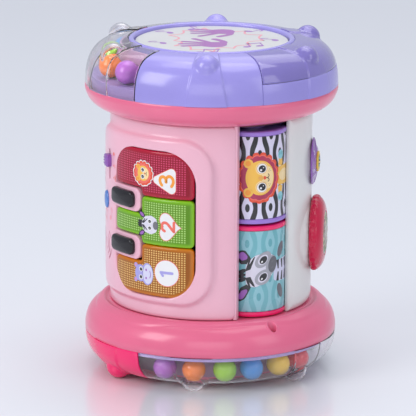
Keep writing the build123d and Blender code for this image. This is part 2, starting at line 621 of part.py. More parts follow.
with BuildPart() as top_flange:
    with BuildSketch(radial_plane(0), mode=Mode.PRIVATE) as rim_section:
        with BuildLine():
            under = [(FLANGE_R, 236.5), (101.4, 228.6), (95, 223.4), (86, 220.2)]
            outside = Spline(*under, tangents=[(0, -1), (-1, -0.25)])
            Polyline(outside @ 1, (86, CEILING), (16, CEILING), (16, 222.5), (86, 222.5))
            over = [(86, 222.5), (93.9, 225.7), (99.2, 230.4), (102.5, 237.0)]
            inside = Spline(*over, tangents=[(1, 0.25), (0, 1)])
            Polyline(inside @ 1, (102.5, TOP_SEAM), (FLANGE_R, TOP_SEAM), outside @ 0)
        make_face()
    revolve(rim_section.sketch, axis=Axis.Z)
    for azimuth in CASE_SCREW_AZ:
        post(azimuth, TOP_SCREW_AT_R, CEILING + 0.5, 231.0, 5.5)
        post(azimuth, TOP_SCREW_AT_R, 219.0, 229.0, SCREW_HEAD_R + 0.5, mode=Mode.SUBTRACT)
        post(azimuth, TOP_SCREW_AT_R, 219.0, 240.0, SCREW_R + 0.2, mode=Mode.SUBTRACT)
    for azimuth in CORE_SCREW_AZ:
        post(azimuth, CORE_SCREW_AT_R, 219.0, 224.0, SCREW_R + 0.2, mode=Mode.SUBTRACT)
save(top_flange, "top_flange")

with BuildPart() as top_ball_tray:
    ring(74.0, 76.0, 222.7, 273.0)
    ring(75.0, 99.6, TRAY_TOP - 1.5, TRAY_TOP)
    ring(98.0, 99.6, TOP_SEAM - 2.5, TRAY_TOP)
save(top_ball_tray, "top_ball_tray")

WINDOW_LOW = 16.5  # the tinted window starts this far above the seam
TOP_CLEAR_SPAN = (-150 + SEAM_GAP, -30 - SEAM_GAP)
TOP_TINT_SPAN = (30 + SEAM_GAP, 150 - SEAM_GAP)

with BuildPart() as top_cover:
    for span in ((-30 + SEAM_GAP, 30), (150, 210 - SEAM_GAP)):
        bumped_dome(TOP_DOME, TOP_SEAM, 1, span, TOP_BUMP_Z)
    banded_dome(TOP_DOME, TOP_SEAM, 1, (30, 150))
    ring(60.0, 120.0, TOP_SEAM + WINDOW_LOW, 300.0, TOP_TINT_SPAN, mode=Mode.SUBTRACT)
    ring(90.0, 120.0, TOP_SEAM - 3.0, TOP_SEAM, mode=Mode.SUBTRACT)
    # The ring that holds the pad, with its skirt.
    ring(RIM_IN, RIM_OUT, TOP_SEAM + 30.0, TOP_SEAM + 36.6)
    rim_inside = [(RIM_IN, 276.5), (RIM_IN, 277.6), (64.8, RIM_TOP)]
    rim_outside = [(66.4, RIM_TOP), (68.2, 277.6), (RIM_OUT, 276.9), (RIM_OUT, 276.5)]
    turned(rim_inside + rim_outside)
    ring(RIM_IN, RIM_IN + WALL, WELL_LOW, 272.0)
    # The well under the pad, its guides and the posts for the screws from below.
    ring(0.0, RIM_IN + WALL, WELL_LOW, WELL_HIGH)
    for azimuth in PAD_GUIDE_AZ:
        post(azimuth, PAD_GUIDE_AT_R, 260.0, WELL_HIGH, 6.0)
        post(azimuth, PAD_GUIDE_AT_R, 255.0, 270.0, PAD_GUIDE_R + 0.06, mode=Mode.SUBTRACT)
    for azimuth in CASE_SCREW_AZ:
        post(azimuth, TOP_SCREW_AT_R, 231.1, WELL_HIGH, 4.0)
        post(azimuth, TOP_SCREW_AT_R, 231.0, 252.0, SCREW_R + 0.05, mode=Mode.SUBTRACT)
save(top_cover, "top_cover")

with BuildPart() as top_window_clear:
    bumped_dome(TOP_DOME, TOP_SEAM, 1, TOP_CLEAR_SPAN, TOP_BUMP_Z)
    ring(60.0, RIM_OUT + 0.1, 260.0, 300.0, mode=Mode.SUBTRACT)
save(top_window_clear, "top_window_clear")

with BuildPart() as top_window_tinted:
    tint_span = (TOP_TINT_SPAN[0] + SEAM_GAP, TOP_TINT_SPAN[1] - SEAM_GAP)
    bumped_dome(TOP_DOME, TOP_SEAM, 1, tint_span, TOP_BUMP_Z)
    ring(60.0, RIM_OUT + 0.1, 260.0, 300.0, mode=Mode.SUBTRACT)
    ring(60.0, 120.0, 230.0, TOP_SEAM + WINDOW_LOW + 0.1, mode=Mode.SUBTRACT)
save(top_window_tinted, "top_window_tinted")

with BuildPart() as drum_pad:
    post(0, 0, 272.5, PAD_TOP, PAD_R)
    fillet(drum_pad.faces().sort_by(Axis.Z)[-1].edges(), 1.2)
    ring(59.5, 61.5, 267.4, 273.0)
    for azimuth in PAD_GUIDE_AZ:
        post(azimuth, PAD_GUIDE_AT_R, 259.8, 273.0, PAD_GUIDE_R)
        post(azimuth, PAD_GUIDE_AT_R, 259.0, 270.0, 1.25, mode=Mode.SUBTRACT)
save(drum_pad, "drum_pad")

with BuildPart() as pad_stops:
    for azimuth in PAD_GUIDE_AZ:
        post(azimuth, PAD_GUIDE_AT_R, 258.6, 259.8, 5.0)
        post(azimuth, PAD_GUIDE_AT_R, 259.8, 268.0, 1.2)
save(pad_stops, "pad_stops")

SPRING_AZ, SPRING_AT_R, SPRING_R, SPRING_WIRE = (60.0, 180.0, 300.0), 40.0, 5.0, 0.45
SPRING_LOW, SPRING_TALL = 264.5, 7.5

with BuildPart() as pad_springs:
    for azimuth in SPRING_AZ:
        foot = around(azimuth, SPRING_AT_R, SPRING_LOW)
        with BuildLine(mode=Mode.PRIVATE) as coil:
            Helix(SPRING_TALL / 4, SPRING_TALL, SPRING_R, center=foot)
        with BuildSketch(Plane(coil.line @ 0, z_dir=coil.line % 0), mode=Mode.PRIVATE) as wire:
            Circle(SPRING_WIRE)
        sweep(wire.sketch, path=coil.line, is_frenet=True)
save(pad_springs, "pad_springs")

with BuildPart() as pad_switch:
    post(0, 0, WELL_HIGH + 0.02, WELL_HIGH + 1.4, 14.0)
    with Locations((0, 0, WELL_HIGH + 2.7)):
        Box(9.0, 9.0, 2.6)
    post(0, 0, WELL_HIGH + 3.9, 269.0, 2.6)
save(pad_switch, "pad_switch")

for colour, azimuth in TOP_BALLS.items():
    with BuildPart() as ball:
        with Locations(around(azimuth, TRACK_R, TOP_BALL_Z)):
            Sphere(BALL_R)
    save(ball, f"top_ball_{colour}")

# ---------------------------------------------------------------- screws
with BuildPart() as base_screws:
    case_screws = [(a, BASE_SCREW_AT_R, PLATE_LOW - 0.8, 26.0) for a in CASE_SCREW_AZ]
    for azimuth, radius, head, tip in case_screws + [
        (0, -DOOR_SCREW_Y, PLATE_LOW - 0.6, 15.0)
    ]:
        post(azimuth, radius, head, head + 2.0, SCREW_HEAD_R)
        post(azimuth, radius, head + 2.0, tip, SCREW_R)
        with Locations(around(azimuth, radius, head)):
            Box(4.4, 0.8, 1.6, mode=Mode.SUBTRACT)
            Box(0.8, 4.4, 1.6, mode=Mode.SUBTRACT)
save(base_screws, "base_screws")

with BuildPart() as body_screws:
    for azimuth, z in BACK_SCREWS:
        plane = facing_plane(azimuth, 0, z)
        disc(plane, SCREW_HEAD_R, 79.05, 79.05 + HEAD_TALL)
        disc(plane, SCREW_R, 79.05 - SCREW_LONG + 2.0, 79.05)
        block(plane, 4.4, 0.8, 80.4, 82.0, mode=Mode.SUBTRACT)
        block(plane, 0.8, 4.4, 80.4, 82.0, mode=Mode.SUBTRACT)
    for azimuth in CORE_SCREW_AZ:
        post(azimuth, CORE_SCREW_AT_R, 52.2, DECK - WALL, SCREW_HEAD_R)
        post(azimuth, CORE_SCREW_AT_R, DECK - WALL, 66.0, SCREW_R)
        post(azimuth, CORE_SCREW_AT_R, 222.5, 224.8, SCREW_HEAD_R)
        post(azimuth, CORE_SCREW_AT_R, 211.0, 222.5, SCREW_R)
save(body_screws, "body_screws")

with BuildPart() as top_screws:
    for azimuth in CASE_SCREW_AZ:
        post(azimuth, TOP_SCREW_AT_R, 226.8, 229.0, SCREW_HEAD_R)
        post(azimuth, TOP_SCREW_AT_R, 229.0, 250.0, SCREW_R)
save(top_screws, "top_screws")
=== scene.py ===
"""Baby activity drum: the looks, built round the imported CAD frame.

Lengths are millimetres, which build() turns into Blender's metres. Lights, camera and texture scales are in
metres.
"""

import math

import bmesh
import bpy
import numpy as np
from mathutils import Matrix, Vector


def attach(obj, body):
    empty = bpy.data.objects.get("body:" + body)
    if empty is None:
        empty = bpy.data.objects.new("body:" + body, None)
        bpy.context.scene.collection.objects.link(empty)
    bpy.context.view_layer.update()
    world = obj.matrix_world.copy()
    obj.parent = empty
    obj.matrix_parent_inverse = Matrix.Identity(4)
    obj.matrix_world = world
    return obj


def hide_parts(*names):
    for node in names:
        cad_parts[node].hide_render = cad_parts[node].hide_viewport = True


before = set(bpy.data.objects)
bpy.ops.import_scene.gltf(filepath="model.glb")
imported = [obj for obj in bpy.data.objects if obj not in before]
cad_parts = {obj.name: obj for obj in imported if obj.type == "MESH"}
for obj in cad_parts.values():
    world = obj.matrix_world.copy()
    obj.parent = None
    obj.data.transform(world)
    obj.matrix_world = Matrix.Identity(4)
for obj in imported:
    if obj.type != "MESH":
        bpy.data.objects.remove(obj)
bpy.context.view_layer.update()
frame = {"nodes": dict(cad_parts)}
scene = bpy.context.scene
scene.view_settings.view_transform = "Standard"
MM = 0.001
COLUMN_R, UNROLL = 84.0, 88.0  # column wall, and the radius at which outlines on it are arc lengths
TOP_SEAM, BASE_SEAM, TRACK_R = 240.5, 31.0, 87.0  # dome feet, and the radius of the balls' tracks
PAD_TOP, LAYER = 275.5, 0.004  # drum pad, and the step between prints that overlap
BLACK_KEY_Z = (114.0, 154.0)
SLIDER_AZ, BUTTON_AZ, BUTTON_Z, MARKS_AZ = -65.3, -71.0, 144.6, -59.0
SPINNER_Z, DIAL_Z = 175.7, 114.8


# ------------------------------------------------------------------ points and curves
def polar(az, r, z):
    """Points from azimuth (0 at the front, growing to the right), radius and height."""
    a = np.radians(az)
    return np.stack(np.broadcast_arrays(r * np.sin(a), -r * np.cos(a), z), -1)


def spline(points, step):
    """Dense points on a natural cubic curve through the given ones."""
    p = np.asarray(points, float)
    d = np.r_[0, np.cumsum(np.hypot(*np.diff(p, axis=0).T))]
    n, h = len(p), np.diff(d)
    a, b = np.eye(n), np.zeros((n, 2))
    for i in range(1, n - 1):
        a[i, i - 1 : i + 2] = h[i - 1], 2 * (h[i - 1] + h[i]), h[i]
        b[i] = 6 * ((p[i + 1] - p[i]) / h[i] - (p[i] - p[i - 1]) / h[i - 1])
    m = np.linalg.solve(a, b)
    t = np.linspace(0, d[-1], max(3, int(round(d[-1] / step)) + 1))
    k = np.clip(np.searchsorted(d, t, side="right") - 1, 0, n - 2)
    s, e, w = (t - d[k])[:, None], (d[k + 1] - t)[:, None], h[k][:, None]
    ends = (p[k] / w - m[k] * w / 6) * e, (p[k + 1] / w - m[k + 1] * w / 6) * s
    return (m[k] * e**3 + m[k + 1] * s**3) / (6 * w) + ends[0] + ends[1]


def rounded(points, radii, step=1.0, closed=True):
    """An outline of straight runs with its corners rounded, as dense points."""
    p = np.asarray(points, float)
    n = len(p)
    radii = np.broadcast_to(radii, n)
    out = []
    for i in range(n):
        if not closed and i in (0, n - 1):
            out.append(p[i])
            continue
        a, b = p[i - 1] - p[i], p[(i + 1) % n] - p[i]
        la, lb = np.linalg.norm(a), np.linalg.norm(b)
        half = math.acos(np.clip(a @ b / (la * lb), -1, 1)) / 2
        if radii[i] <= 0 or half > 1.55:
            out.append(p[i])
            continue
        cut = min(radii[i] / math.tan(half), 0.49 * la, 0.49 * lb)
        r = cut * math.tan(half)
        start, end = p[i] + a / la * cut, p[i] + b / lb * cut
        mid = p[i] + (a / la + b / lb) / np.linalg.norm(a / la + b / lb) * math.hypot(cut, r)
        u, v = start - mid, end - mid
        turn = math.atan2(u[0] * v[1] - u[1] * v[0], u @ v)
        k = max(3, int(abs(turn) * r / step))
        for t in np.linspace(0, turn, k + 1):
            c, s = math.cos(t), math.sin(t)
            out.append(mid + (c * u[0] - s * u[1], s * u[0] + c * u[1]))
    return np.array(out)


def fill_in(points, step, closed=True):
    """Adds points so that no run of an outline is longer than a step."""
    out = []
    n = len(points)
    for i in range(n if closed else n - 1):
        a, b = points[i], points[(i + 1) % n]
        k = max(1, int(math.ceil(np.hypot(*(b - a)) / step)))
        out += [a + (b - a) * t / k for t in range(k)]
    if not closed:
        out.append(points[-1])
    return np.array(out)


def inset(outline, amount):
    """An outline moved inwards along its normals (counter-clockwise outlines)."""
    d = np.roll(outline, -1, 0) - np.roll(outline, 1, 0)
    d /= np.maximum(np.hypot(*d.T), 1e-9)[:, None]
    return outline + amount * np.stack([-d[:, 1], d[:, 0]], 1)


def soft_max(a, b, k):
    h = np.clip(0.5 + 0.5 * (a - b) / k, 0, 1)
    return b + (a - b) * h + k * h * (1 - h)


def ramp(x, low, high):
    t = np.clip((x - low) / (high - low), 0, 1)
    return t * t * (3 - 2 * t)


# ------------------------------------------------------------------ meshes
def build(name, verts, faces, mat, uv=None, sharp=38, weld=False, attrs=None, recalc=True):
    mesh = bpy.data.meshes.new(name)
    mesh.from_pydata((np.asarray(verts, float) * MM).tolist(), [], [tuple(map(int, f)) for f in faces])
    for key, values in (attrs or {}).items():
        layer = mesh.attributes.new(key, "FLOAT", "POINT")
        layer.data.foreach_set("value", np.asarray(values, np.float32))
    if uv is not None:
        loops = np.zeros(len(mesh.loops), int)
        mesh.loops.foreach_get("vertex_index", loops)
        layer = mesh.uv_layers.new(name="mm")
        layer.data.foreach_set("uv", np.asarray(uv, float)[loops].ravel())
    bm = bmesh.new()
    bm.from_mesh(mesh)
    if weld:
        bmesh.ops.remove_doubles(bm, verts=bm.verts, dist=2e-6)
        bmesh.ops.dissolve_degenerate(bm, edges=bm.edges, dist=1e-7)
    if recalc:
        bmesh.ops.recalc_face_normals(bm, faces=bm.faces)
    bm.to_mesh(mesh)
    bm.free()
    mesh.polygons.foreach_set("use_smooth", [True] * len(mesh.polygons))
    if sharp < 180:
        mesh.set_sharp_from_angle(angle=math.radians(sharp))
    mesh.materials.append(mat)
    obj = bpy.data.objects.new(name, mesh)
    scene.collection.objects.link(obj)
    return obj


def grid_faces(u, v, wrap_u, wrap_v, start=0):
    i, j = np.meshgrid(np.arange(u if wrap_u else u - 1), np.arange(v if wrap_v else v - 1), indexing="ij")
    i2, j2 = (i + 1) % u, (j + 1) % v
    return (np.stack([i * v + j, i2 * v + j, i2 * v + j2, i * v + j2], -1).reshape(-1, 4) + start).tolist()


def shell(name, outer, inner, mat, **more):
    """A closed wall between two matching grids of points."""
    u, v = outer.shape[:2]
    n = u * v
    faces = grid_faces(u, v, False, False) + grid_faces(u, v, False, False, n)
    for j in (0, v - 1):
        faces += [(i * v + j, (i + 1) * v + j, (i + 1) * v + j + n, i * v + j + n) for i in range(u - 1)]
    for i in (0, u - 1):
        faces += [(i * v + j, i * v + j + 1, i * v + j + 1 + n, i * v + j + n) for j in range(v - 1)]
    return build(name, np.concatenate([outer.reshape(-1, 3), inner.reshape(-1, 3)]), faces, mat, **more)


def lathe(name, profile, mat, steps=128, centre=(0, 0), axis="z", closed=True, shape=None, **more):
    """Turns an outline of (radius, height) about an upright axis, or (radius, x) about a level one."""
    p = np.asarray(profile, float)
    t = np.linspace(0, 2 * np.pi, steps, endpoint=False)[:, None]
    r, h = np.broadcast_to(p[:, 0], (steps, len(p))).copy(), np.broadcast_to(p[:, 1], (steps, len(p))).copy()
    if shape:
        r, h = shape(t, r, h)
    if axis == "z":
        xyz = np.stack([centre[0] + r * np.cos(t), centre[1] + r * np.sin(t), h], -1)
    else:
        xyz = np.stack([h, centre[0] + r * np.cos(t), centre[1] + r * np.sin(t)], -1)
    uv = np.stack([t * p[:, 0].max() + 0 * h, h], -1).reshape(-1, 2) * MM
    return build(
        name, xyz.reshape(-1, 3), grid_faces(steps, len(p), True, closed), mat, weld=True, uv=uv, **more
    )


def pad(name, outline, centre, radius, top, low, edge, mat, crown=0.0, **more):
    """A plate with rounded edges, wrapped on a cylinder. Its outline is (arc length, height)."""
    outline, centre = fill_in(np.asarray(outline, float), 1.6), np.asarray(centre, float)
    inner = inset(outline, edge)
    loops, drop = [], []
    for t in (0.25, 0.5, 0.75, 0.92):
        loops.append(centre + (inner - centre) * t)
        drop.append(crown * t * t)
    for a in np.radians((0, 18, 36, 54, 72, 90)):
        loops.append(inset(outline, edge * (1 - math.sin(a))))
        drop.append(crown + edge * (1 - math.cos(a)))
    loops.append(outline)
    drop.append(top - low)
    loops.append(centre + (inner - centre) * 0.5)
    drop.append(top - low)
    flat = np.array([[*centre]] + [p for loop in loops for p in loop] + [[*centre]])
    depth = np.concatenate([[0], np.repeat(drop, len(outline)), [top - low]])
    rim = np.concatenate([[0], np.repeat([0.2, 0.4, 0.6, 0.8] + [1.0] * 7 + [0.5], len(outline)), [0]])
    n, k = len(outline), len(loops)
    faces = [(0, 1 + i, 1 + (i + 1) % n) for i in range(n)]
    faces += grid_faces(k, n, False, True, 1)
    last = 1 + (k - 1) * n
    faces += [(len(flat) - 1, last + i, last + (i + 1) % n) for i in range(n)]
    xyz = polar(np.degrees(flat[:, 0] / radius), top - depth, flat[:, 1])
    dist = np.array([np.min(np.hypot(*(outline - p).T)) for p in flat])
    return build(name, xyz, faces, mat, uv=flat * MM, attrs={"rim": dist, "depth": depth}, **more)


def decal(name, shapes, mat, surface, cut=2.5):
    """Flat printed shapes, laid on a surface."""
    bm = bmesh.new()
    for shape in shapes:
        if np.ndim(shape) == 3:
            pairs = [[bm.verts.new((*point, 0)) for point in pair] for pair in shape]
            for (a, b), (c, d) in zip(pairs, pairs[1:]):
                bm.faces.new((a, b, c))
                bm.faces.new((b, d, c))
        else:
            bm.faces.new([bm.verts.new((x, z, 0)) for x, z in shape])
    bmesh.ops.triangulate(bm, faces=bm.faces)
    if cut:
        xs = [v.co.x for v in bm.verts]
        for x in np.arange(math.floor(min(xs)) + 0.013, max(xs), cut):
            bmesh.ops.bisect_plane(
                bm, geom=bm.verts[:] + bm.edges[:] + bm.faces[:], plane_co=(x, 0, 0), plane_no=(1, 0, 0)
            )
    flat = np.array([v.co[:2] for v in bm.verts])
    bm.verts.index_update()
    faces = []
    for face in bm.faces:
        loop = [v.index for v in face.verts]
        x, y = flat[loop].T
        area = (x * np.roll(y, -1) - y * np.roll(x, -1)).sum()
        if abs(area) > 1e-7:
            faces.append(loop if area > 0 else loop[::-1])
    bm.free()
    return build(name, surface(flat[:, 0], flat[:, 1]), faces, mat, uv=flat * MM, sharp=180, recalc=False)


def wrapped(radius, lift, axis=(0, 0)):
    """A surface for decals: arc length and height on an upright cylinder."""
    return lambda x, z, more=0.0: polar(np.degrees(x / radius), radius + lift + more, z) + (*axis, 0)


def level(height):
    """A surface for decals: x and y on a level plane."""
    return lambda x, y: np.stack(np.broadcast_arrays(x, y, height), -1)


def place(obj, body, slot, *nodes):
    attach(obj, body)
    if nodes:
        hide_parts(*nodes)
    return obj


def cut_away(obj, cutters):
    """Subtracts closed meshes from a piece and deletes them."""
    for cutter in cutters:
        mod = obj.modifiers.new("cut", "BOOLEAN")
        mod.operation, mod.solver, mod.object = "DIFFERENCE", "EXACT", cutter
    depsgraph = bpy.context.evaluated_depsgraph_get()
    mesh = bpy.data.meshes.new_from_object(obj.evaluated_get(depsgraph))
    obj.modifiers.clear()
    obj.data = mesh
    mesh.polygons.foreach_set("use_smooth", [True] * len(mesh.polygons))
    mesh.set_sharp_from_angle(angle=math.radians(38))
    for cutter in cutters:
        bpy.data.objects.remove(cutter)


# ------------------------------------------------------------------ drawn shapes
def slab(left, right, low, high, radius, step=1.0):
    """A rectangle with rounded corners."""
    return rounded([(left, low), (right, low), (right, high), (left, high)], radius, step)


def ellipse(x, y, rx, ry=None, turn=0.0, n=36, start=0, end=360):
    t = np.radians(np.linspace(start, end, n, endpoint=end - start < 360))
    ry = rx if ry is None else ry
    c, s = math.cos(math.radians(turn)), math.sin(math.radians(turn))
    a, b = rx * np.cos(t), ry * np.sin(t)
    return np.stack([x + c * a - s * b, y + s * a + c * b], 1)


def twins(x, y, *size, shift=0.0):
    """Two ellipses, mirrored left and right, then moved sideways together."""
    return [ellipse(s * x + shift, y, *size) for s in (-1, 1)]


def scallops(x, y, r, count, depth, n=10):
    t = np.linspace(0, 2 * np.pi, count * n, endpoint=False)
    d = r - depth * (1 - np.abs(np.sin(count * t / 2))) ** 1.5
    return np.stack([x + d * np.cos(t), y + d * np.sin(t)], 1)


def drop_shape(x, y, w, h, n=20):
    """A leaf with both ends pointed."""
    t = np.linspace(0, np.pi, n)
    side = np.stack([w / 2 * np.sin(t) ** 1.4, -h / 2 * np.cos(t)], 1)
    return np.concatenate([side, (side * (-1, 1))[::-1][1:-1]]) + (x, y)


def stroke(points, width, dense=0.5):
    """A line of even width with round ends, as pairs of points along its two sides."""
    p = spline(points, dense) if len(points) > 2 else fill_in(np.asarray(points, float), dense, False)
    d = np.gradient(p, axis=0)
    d /= np.hypot(*d.T)[:, None]
    half = np.full(len(p), width / 2)
    cap = np.radians([4, 20, 40, 60, 80])
    ends = [
        p[0] - d[0] * width / 2 * np.cos(cap)[:, None],
        p[-1] + d[-1] * width / 2 * np.cos(cap[::-1])[:, None]
    ]
    p = np.concatenate([ends[0], p, ends[1]])
    d = np.concatenate([d[:1].repeat(5, 0), d, d[-1:].repeat(5, 0)])
    half = np.concatenate([width / 2 * np.sin(cap), half, width / 2 * np.sin(cap[::-1])])[:, None]
    n = np.stack([-d[:, 1], d[:, 0]], 1) * half
    return np.stack([p - n, p + n], 1)


def ring_of(strip):
    """The closed outline of a stroke."""
    return np.concatenate([strip[:, 0], strip[::-1, 1]])


def heart(x, y, s):
    t = np.linspace(0, 2 * np.pi, 64, endpoint=False)
    height = 13 * np.cos(t) - 5 * np.cos(2 * t) - 2 * np.cos(3 * t) - np.cos(4 * t)
    return np.stack([x + s * np.sin(t) ** 3, y + s * height / 17.5], 1)[::-1]


def sideways(shape, x, z, scale=1.0):
    """Puts a shape drawn upright at a place, with its top to the left."""
    s = np.asarray(shape, float) * scale
    return np.stack([x - s[..., 1], z + s[..., 0]], -1)


DIGITS = {
    "1": [[(-2.4, 3.6), (0.4, 5.6)], [(0.4, 5.6), (0.4, -5.6)]],
    "2": [
        [
            (-3.7, 3.2), (-2.3, 5.2), (0.4, 5.8), (3.3, 4.6), (3.6, 2.0), (1.4, -1.0), (-1.4, -3.4),
            (-3.6, -5.6)
        ],
        [(-3.6, -5.6), (4.2, -5.6)]
    ],
    "3": [
        [(-3.6, 4.2), (-0.8, 5.8), (2.6, 5.0), (3.2, 2.6), (1.6, 0.7), (-0.8, 0.4)],
        [(-0.8, 0.4), (2.2, 0.2), (4.0, -2.6), (2.4, -5.2), (-1.0, -5.8), (-4.0, -4.4)]
    ],
}


def digit(which):
    return [stroke(line, 2.5, 0.3) for line in DIGITS[which]]


# ------------------------------------------------------------------ materials
def material(
    name, colour, rough=0.32, vary=0.06, patch=18.0, grain=900.0, relief=0.02, uneven=0.08, build_more=None,
    **constants
):
    """Moulded plastic: uneven tone, fine grain, uneven gloss. Constants go on the shader's sockets."""
    mat = bpy.data.materials.new(name)
    mat.use_nodes = True
    nodes, links = mat.node_tree.nodes, mat.node_tree.links
    shader = nodes["Principled BSDF"]
    for key, value in constants.items():
        shader.inputs[key.replace("_", " ")].default_value = value
    where = nodes.new("ShaderNodeTexCoord").outputs["Object"]

    def noise(scale, detail=3.0, roughness=0.55):
        n = nodes.new("ShaderNodeTexNoise")
        n.inputs["Scale"].default_value, n.inputs["Detail"].default_value = scale, detail
        n.inputs["Roughness"].default_value = roughness
        links.new(where, n.inputs["Vector"])
        return n.outputs["Fac"]

    def fit(value, low, high, from_low=0.3, from_high=0.7):
        m = nodes.new("ShaderNodeMapRange")
        m.inputs["From Min"].default_value, m.inputs["From Max"].default_value = from_low, from_high
        m.inputs["To Min"].default_value, m.inputs["To Max"].default_value = low, high
        links.new(value, m.inputs["Value"])
        return m.outputs["Result"]

    def mix(fac, a, b):
        m = nodes.new("ShaderNodeMix")
        m.data_type = "RGBA"
        for socket, value in (("Factor_Float", fac), ("A_Color", a), ("B_Color", b)):
            target = next(s for s in m.inputs if s.identifier == socket)
            if isinstance(value, (tuple, float)):
                target.default_value = (*value, 1) if isinstance(value, tuple) else value
            else:
                links.new(value, target)
        return next(s for s in m.outputs if s.identifier == "Result_Color")

    dark = tuple(c * (1 - vary) for c in colour)
    light = tuple(min(1.0, c * (1 + vary * 0.6) + vary * 0.02) for c in colour)
    tone = mix(fit(noise(patch, 4.0), 0.0, 1.0), dark, light)
    fine = noise(grain, 2.0)
    tone = mix(fit(fine, 0.0, 0.35), tone, light)
    height = fine
    if build_more:
        tone, height = build_more(nodes, links, tone, height, mix, fit, noise)
    links.new(tone, shader.inputs["Base Color"])
    links.new(
        fit(noise(patch * 2, 1.0), rough * (1 - uneven), rough * (1 + uneven)), shader.inputs["Roughness"]
    )
    bump = nodes.new("ShaderNodeBump")
    bump.inputs["Strength"].default_value, bump.inputs["Distance"].default_value = relief, 0.0002
    links.new(height, bump.inputs["Height"])
    links.new(bump.outputs["Normal"], shader.inputs["Normal"])
    return mat


def calc(nodes, links, operation, a, b=None):
    m = nodes.new("ShaderNodeMath")
    m.operation = operation
    for socket, value in zip(m.inputs, (a, b)):
        if isinstance(value, (int, float)):
            socket.default_value = value
        elif value is not None:
            links.new(value, socket)
    return m.outputs[0]


def uv_mm(nodes, links):
    """The two surface coordinates in millimetres."""
    uv = nodes.new("ShaderNodeUVMap")
    uv.uv_map = "mm"
    split = nodes.new("ShaderNodeSeparateXYZ")
    links.new(uv.outputs["UV"], split.inputs[0])
    return [calc(nodes, links, "MULTIPLY", split.outputs[i], 1000.0) for i in (0, 1)]


def attribute(nodes, name):
    a = nodes.new("ShaderNodeAttribute")
    a.attribute_name = name
    return a.outputs["Fac"]


def dotted(bright, deep, pitch=(2.3, 1.9)):
    """Rows of small raised dots, under a plain glossy margin. The deep colour is a painted glow: the margin
    and the rounded edge are tinted with it as if light shone through the translucent key.
    """

    def more(nodes, links, tone, height, mix, fit, noise):
        u, v = uv_mm(nodes, links)
        waves = [
            fit(
                calc(nodes, links, "COSINE", calc(nodes, links, "MULTIPLY", k, 2 * math.pi / p)), 0.0, 1.0,
                -0.75, 0.35
            )
            for k,
            p in zip((u, v), pitch)
        ]
        rim, depth = attribute(nodes, "rim"), attribute(nodes, "depth")
        inside = calc(nodes, links, "MULTIPLY", fit(rim, 0.0, 1.0, 3.2, 3.8), fit(u, 1.0, 0.0, -10.4, -9.9))
        spots = calc(nodes, links, "MULTIPLY", calc(nodes, links, "MULTIPLY", *waves), inside)
        # painted glow: within 4 mm of the outline the key takes the deep colour, as light coming through its
        # translucent edge
        tone = mix(fit(rim, 1.0, 0.0, 0.0, 4.0), tone, deep)
        tone = mix(calc(nodes, links, "MULTIPLY", spots, 0.9), tone, bright)
        # painted glow on the rounded edge too, half way to the deep colour
        tone = mix(fit(depth, 0.0, 0.5, 0.4, 2.2), tone, deep)
        return tone, spots

    return more


def clear(name, tint, rough=0.03, **constants):
    """Clear plastic: near-perfect polish with faint flow marks."""
    return material(
        name, tint, rough=rough, vary=0.01, relief=0.02, grain=60.0, Transmission_Weight=1.0, IOR=1.42,
        **constants
    )


GLOSS = {"Coat_Weight": 0.35, "Coat_Roughness": 0.12}
POLISH = {"Specular_IOR_Level": 0.15, "Coat_Weight": 0.6, "Coat_Roughness": 0.03}
PINK, LIGHT_PINK, HOT_PINK = (0.79, 0.14, 0.26), (0.84, 0.46, 0.56), (0.92, 0.01, 0.15)
LILAC, WHITE, PURPLE = (0.32, 0.28, 0.69), (0.76, 0.76, 0.74), (0.25, 0.08, 0.40)

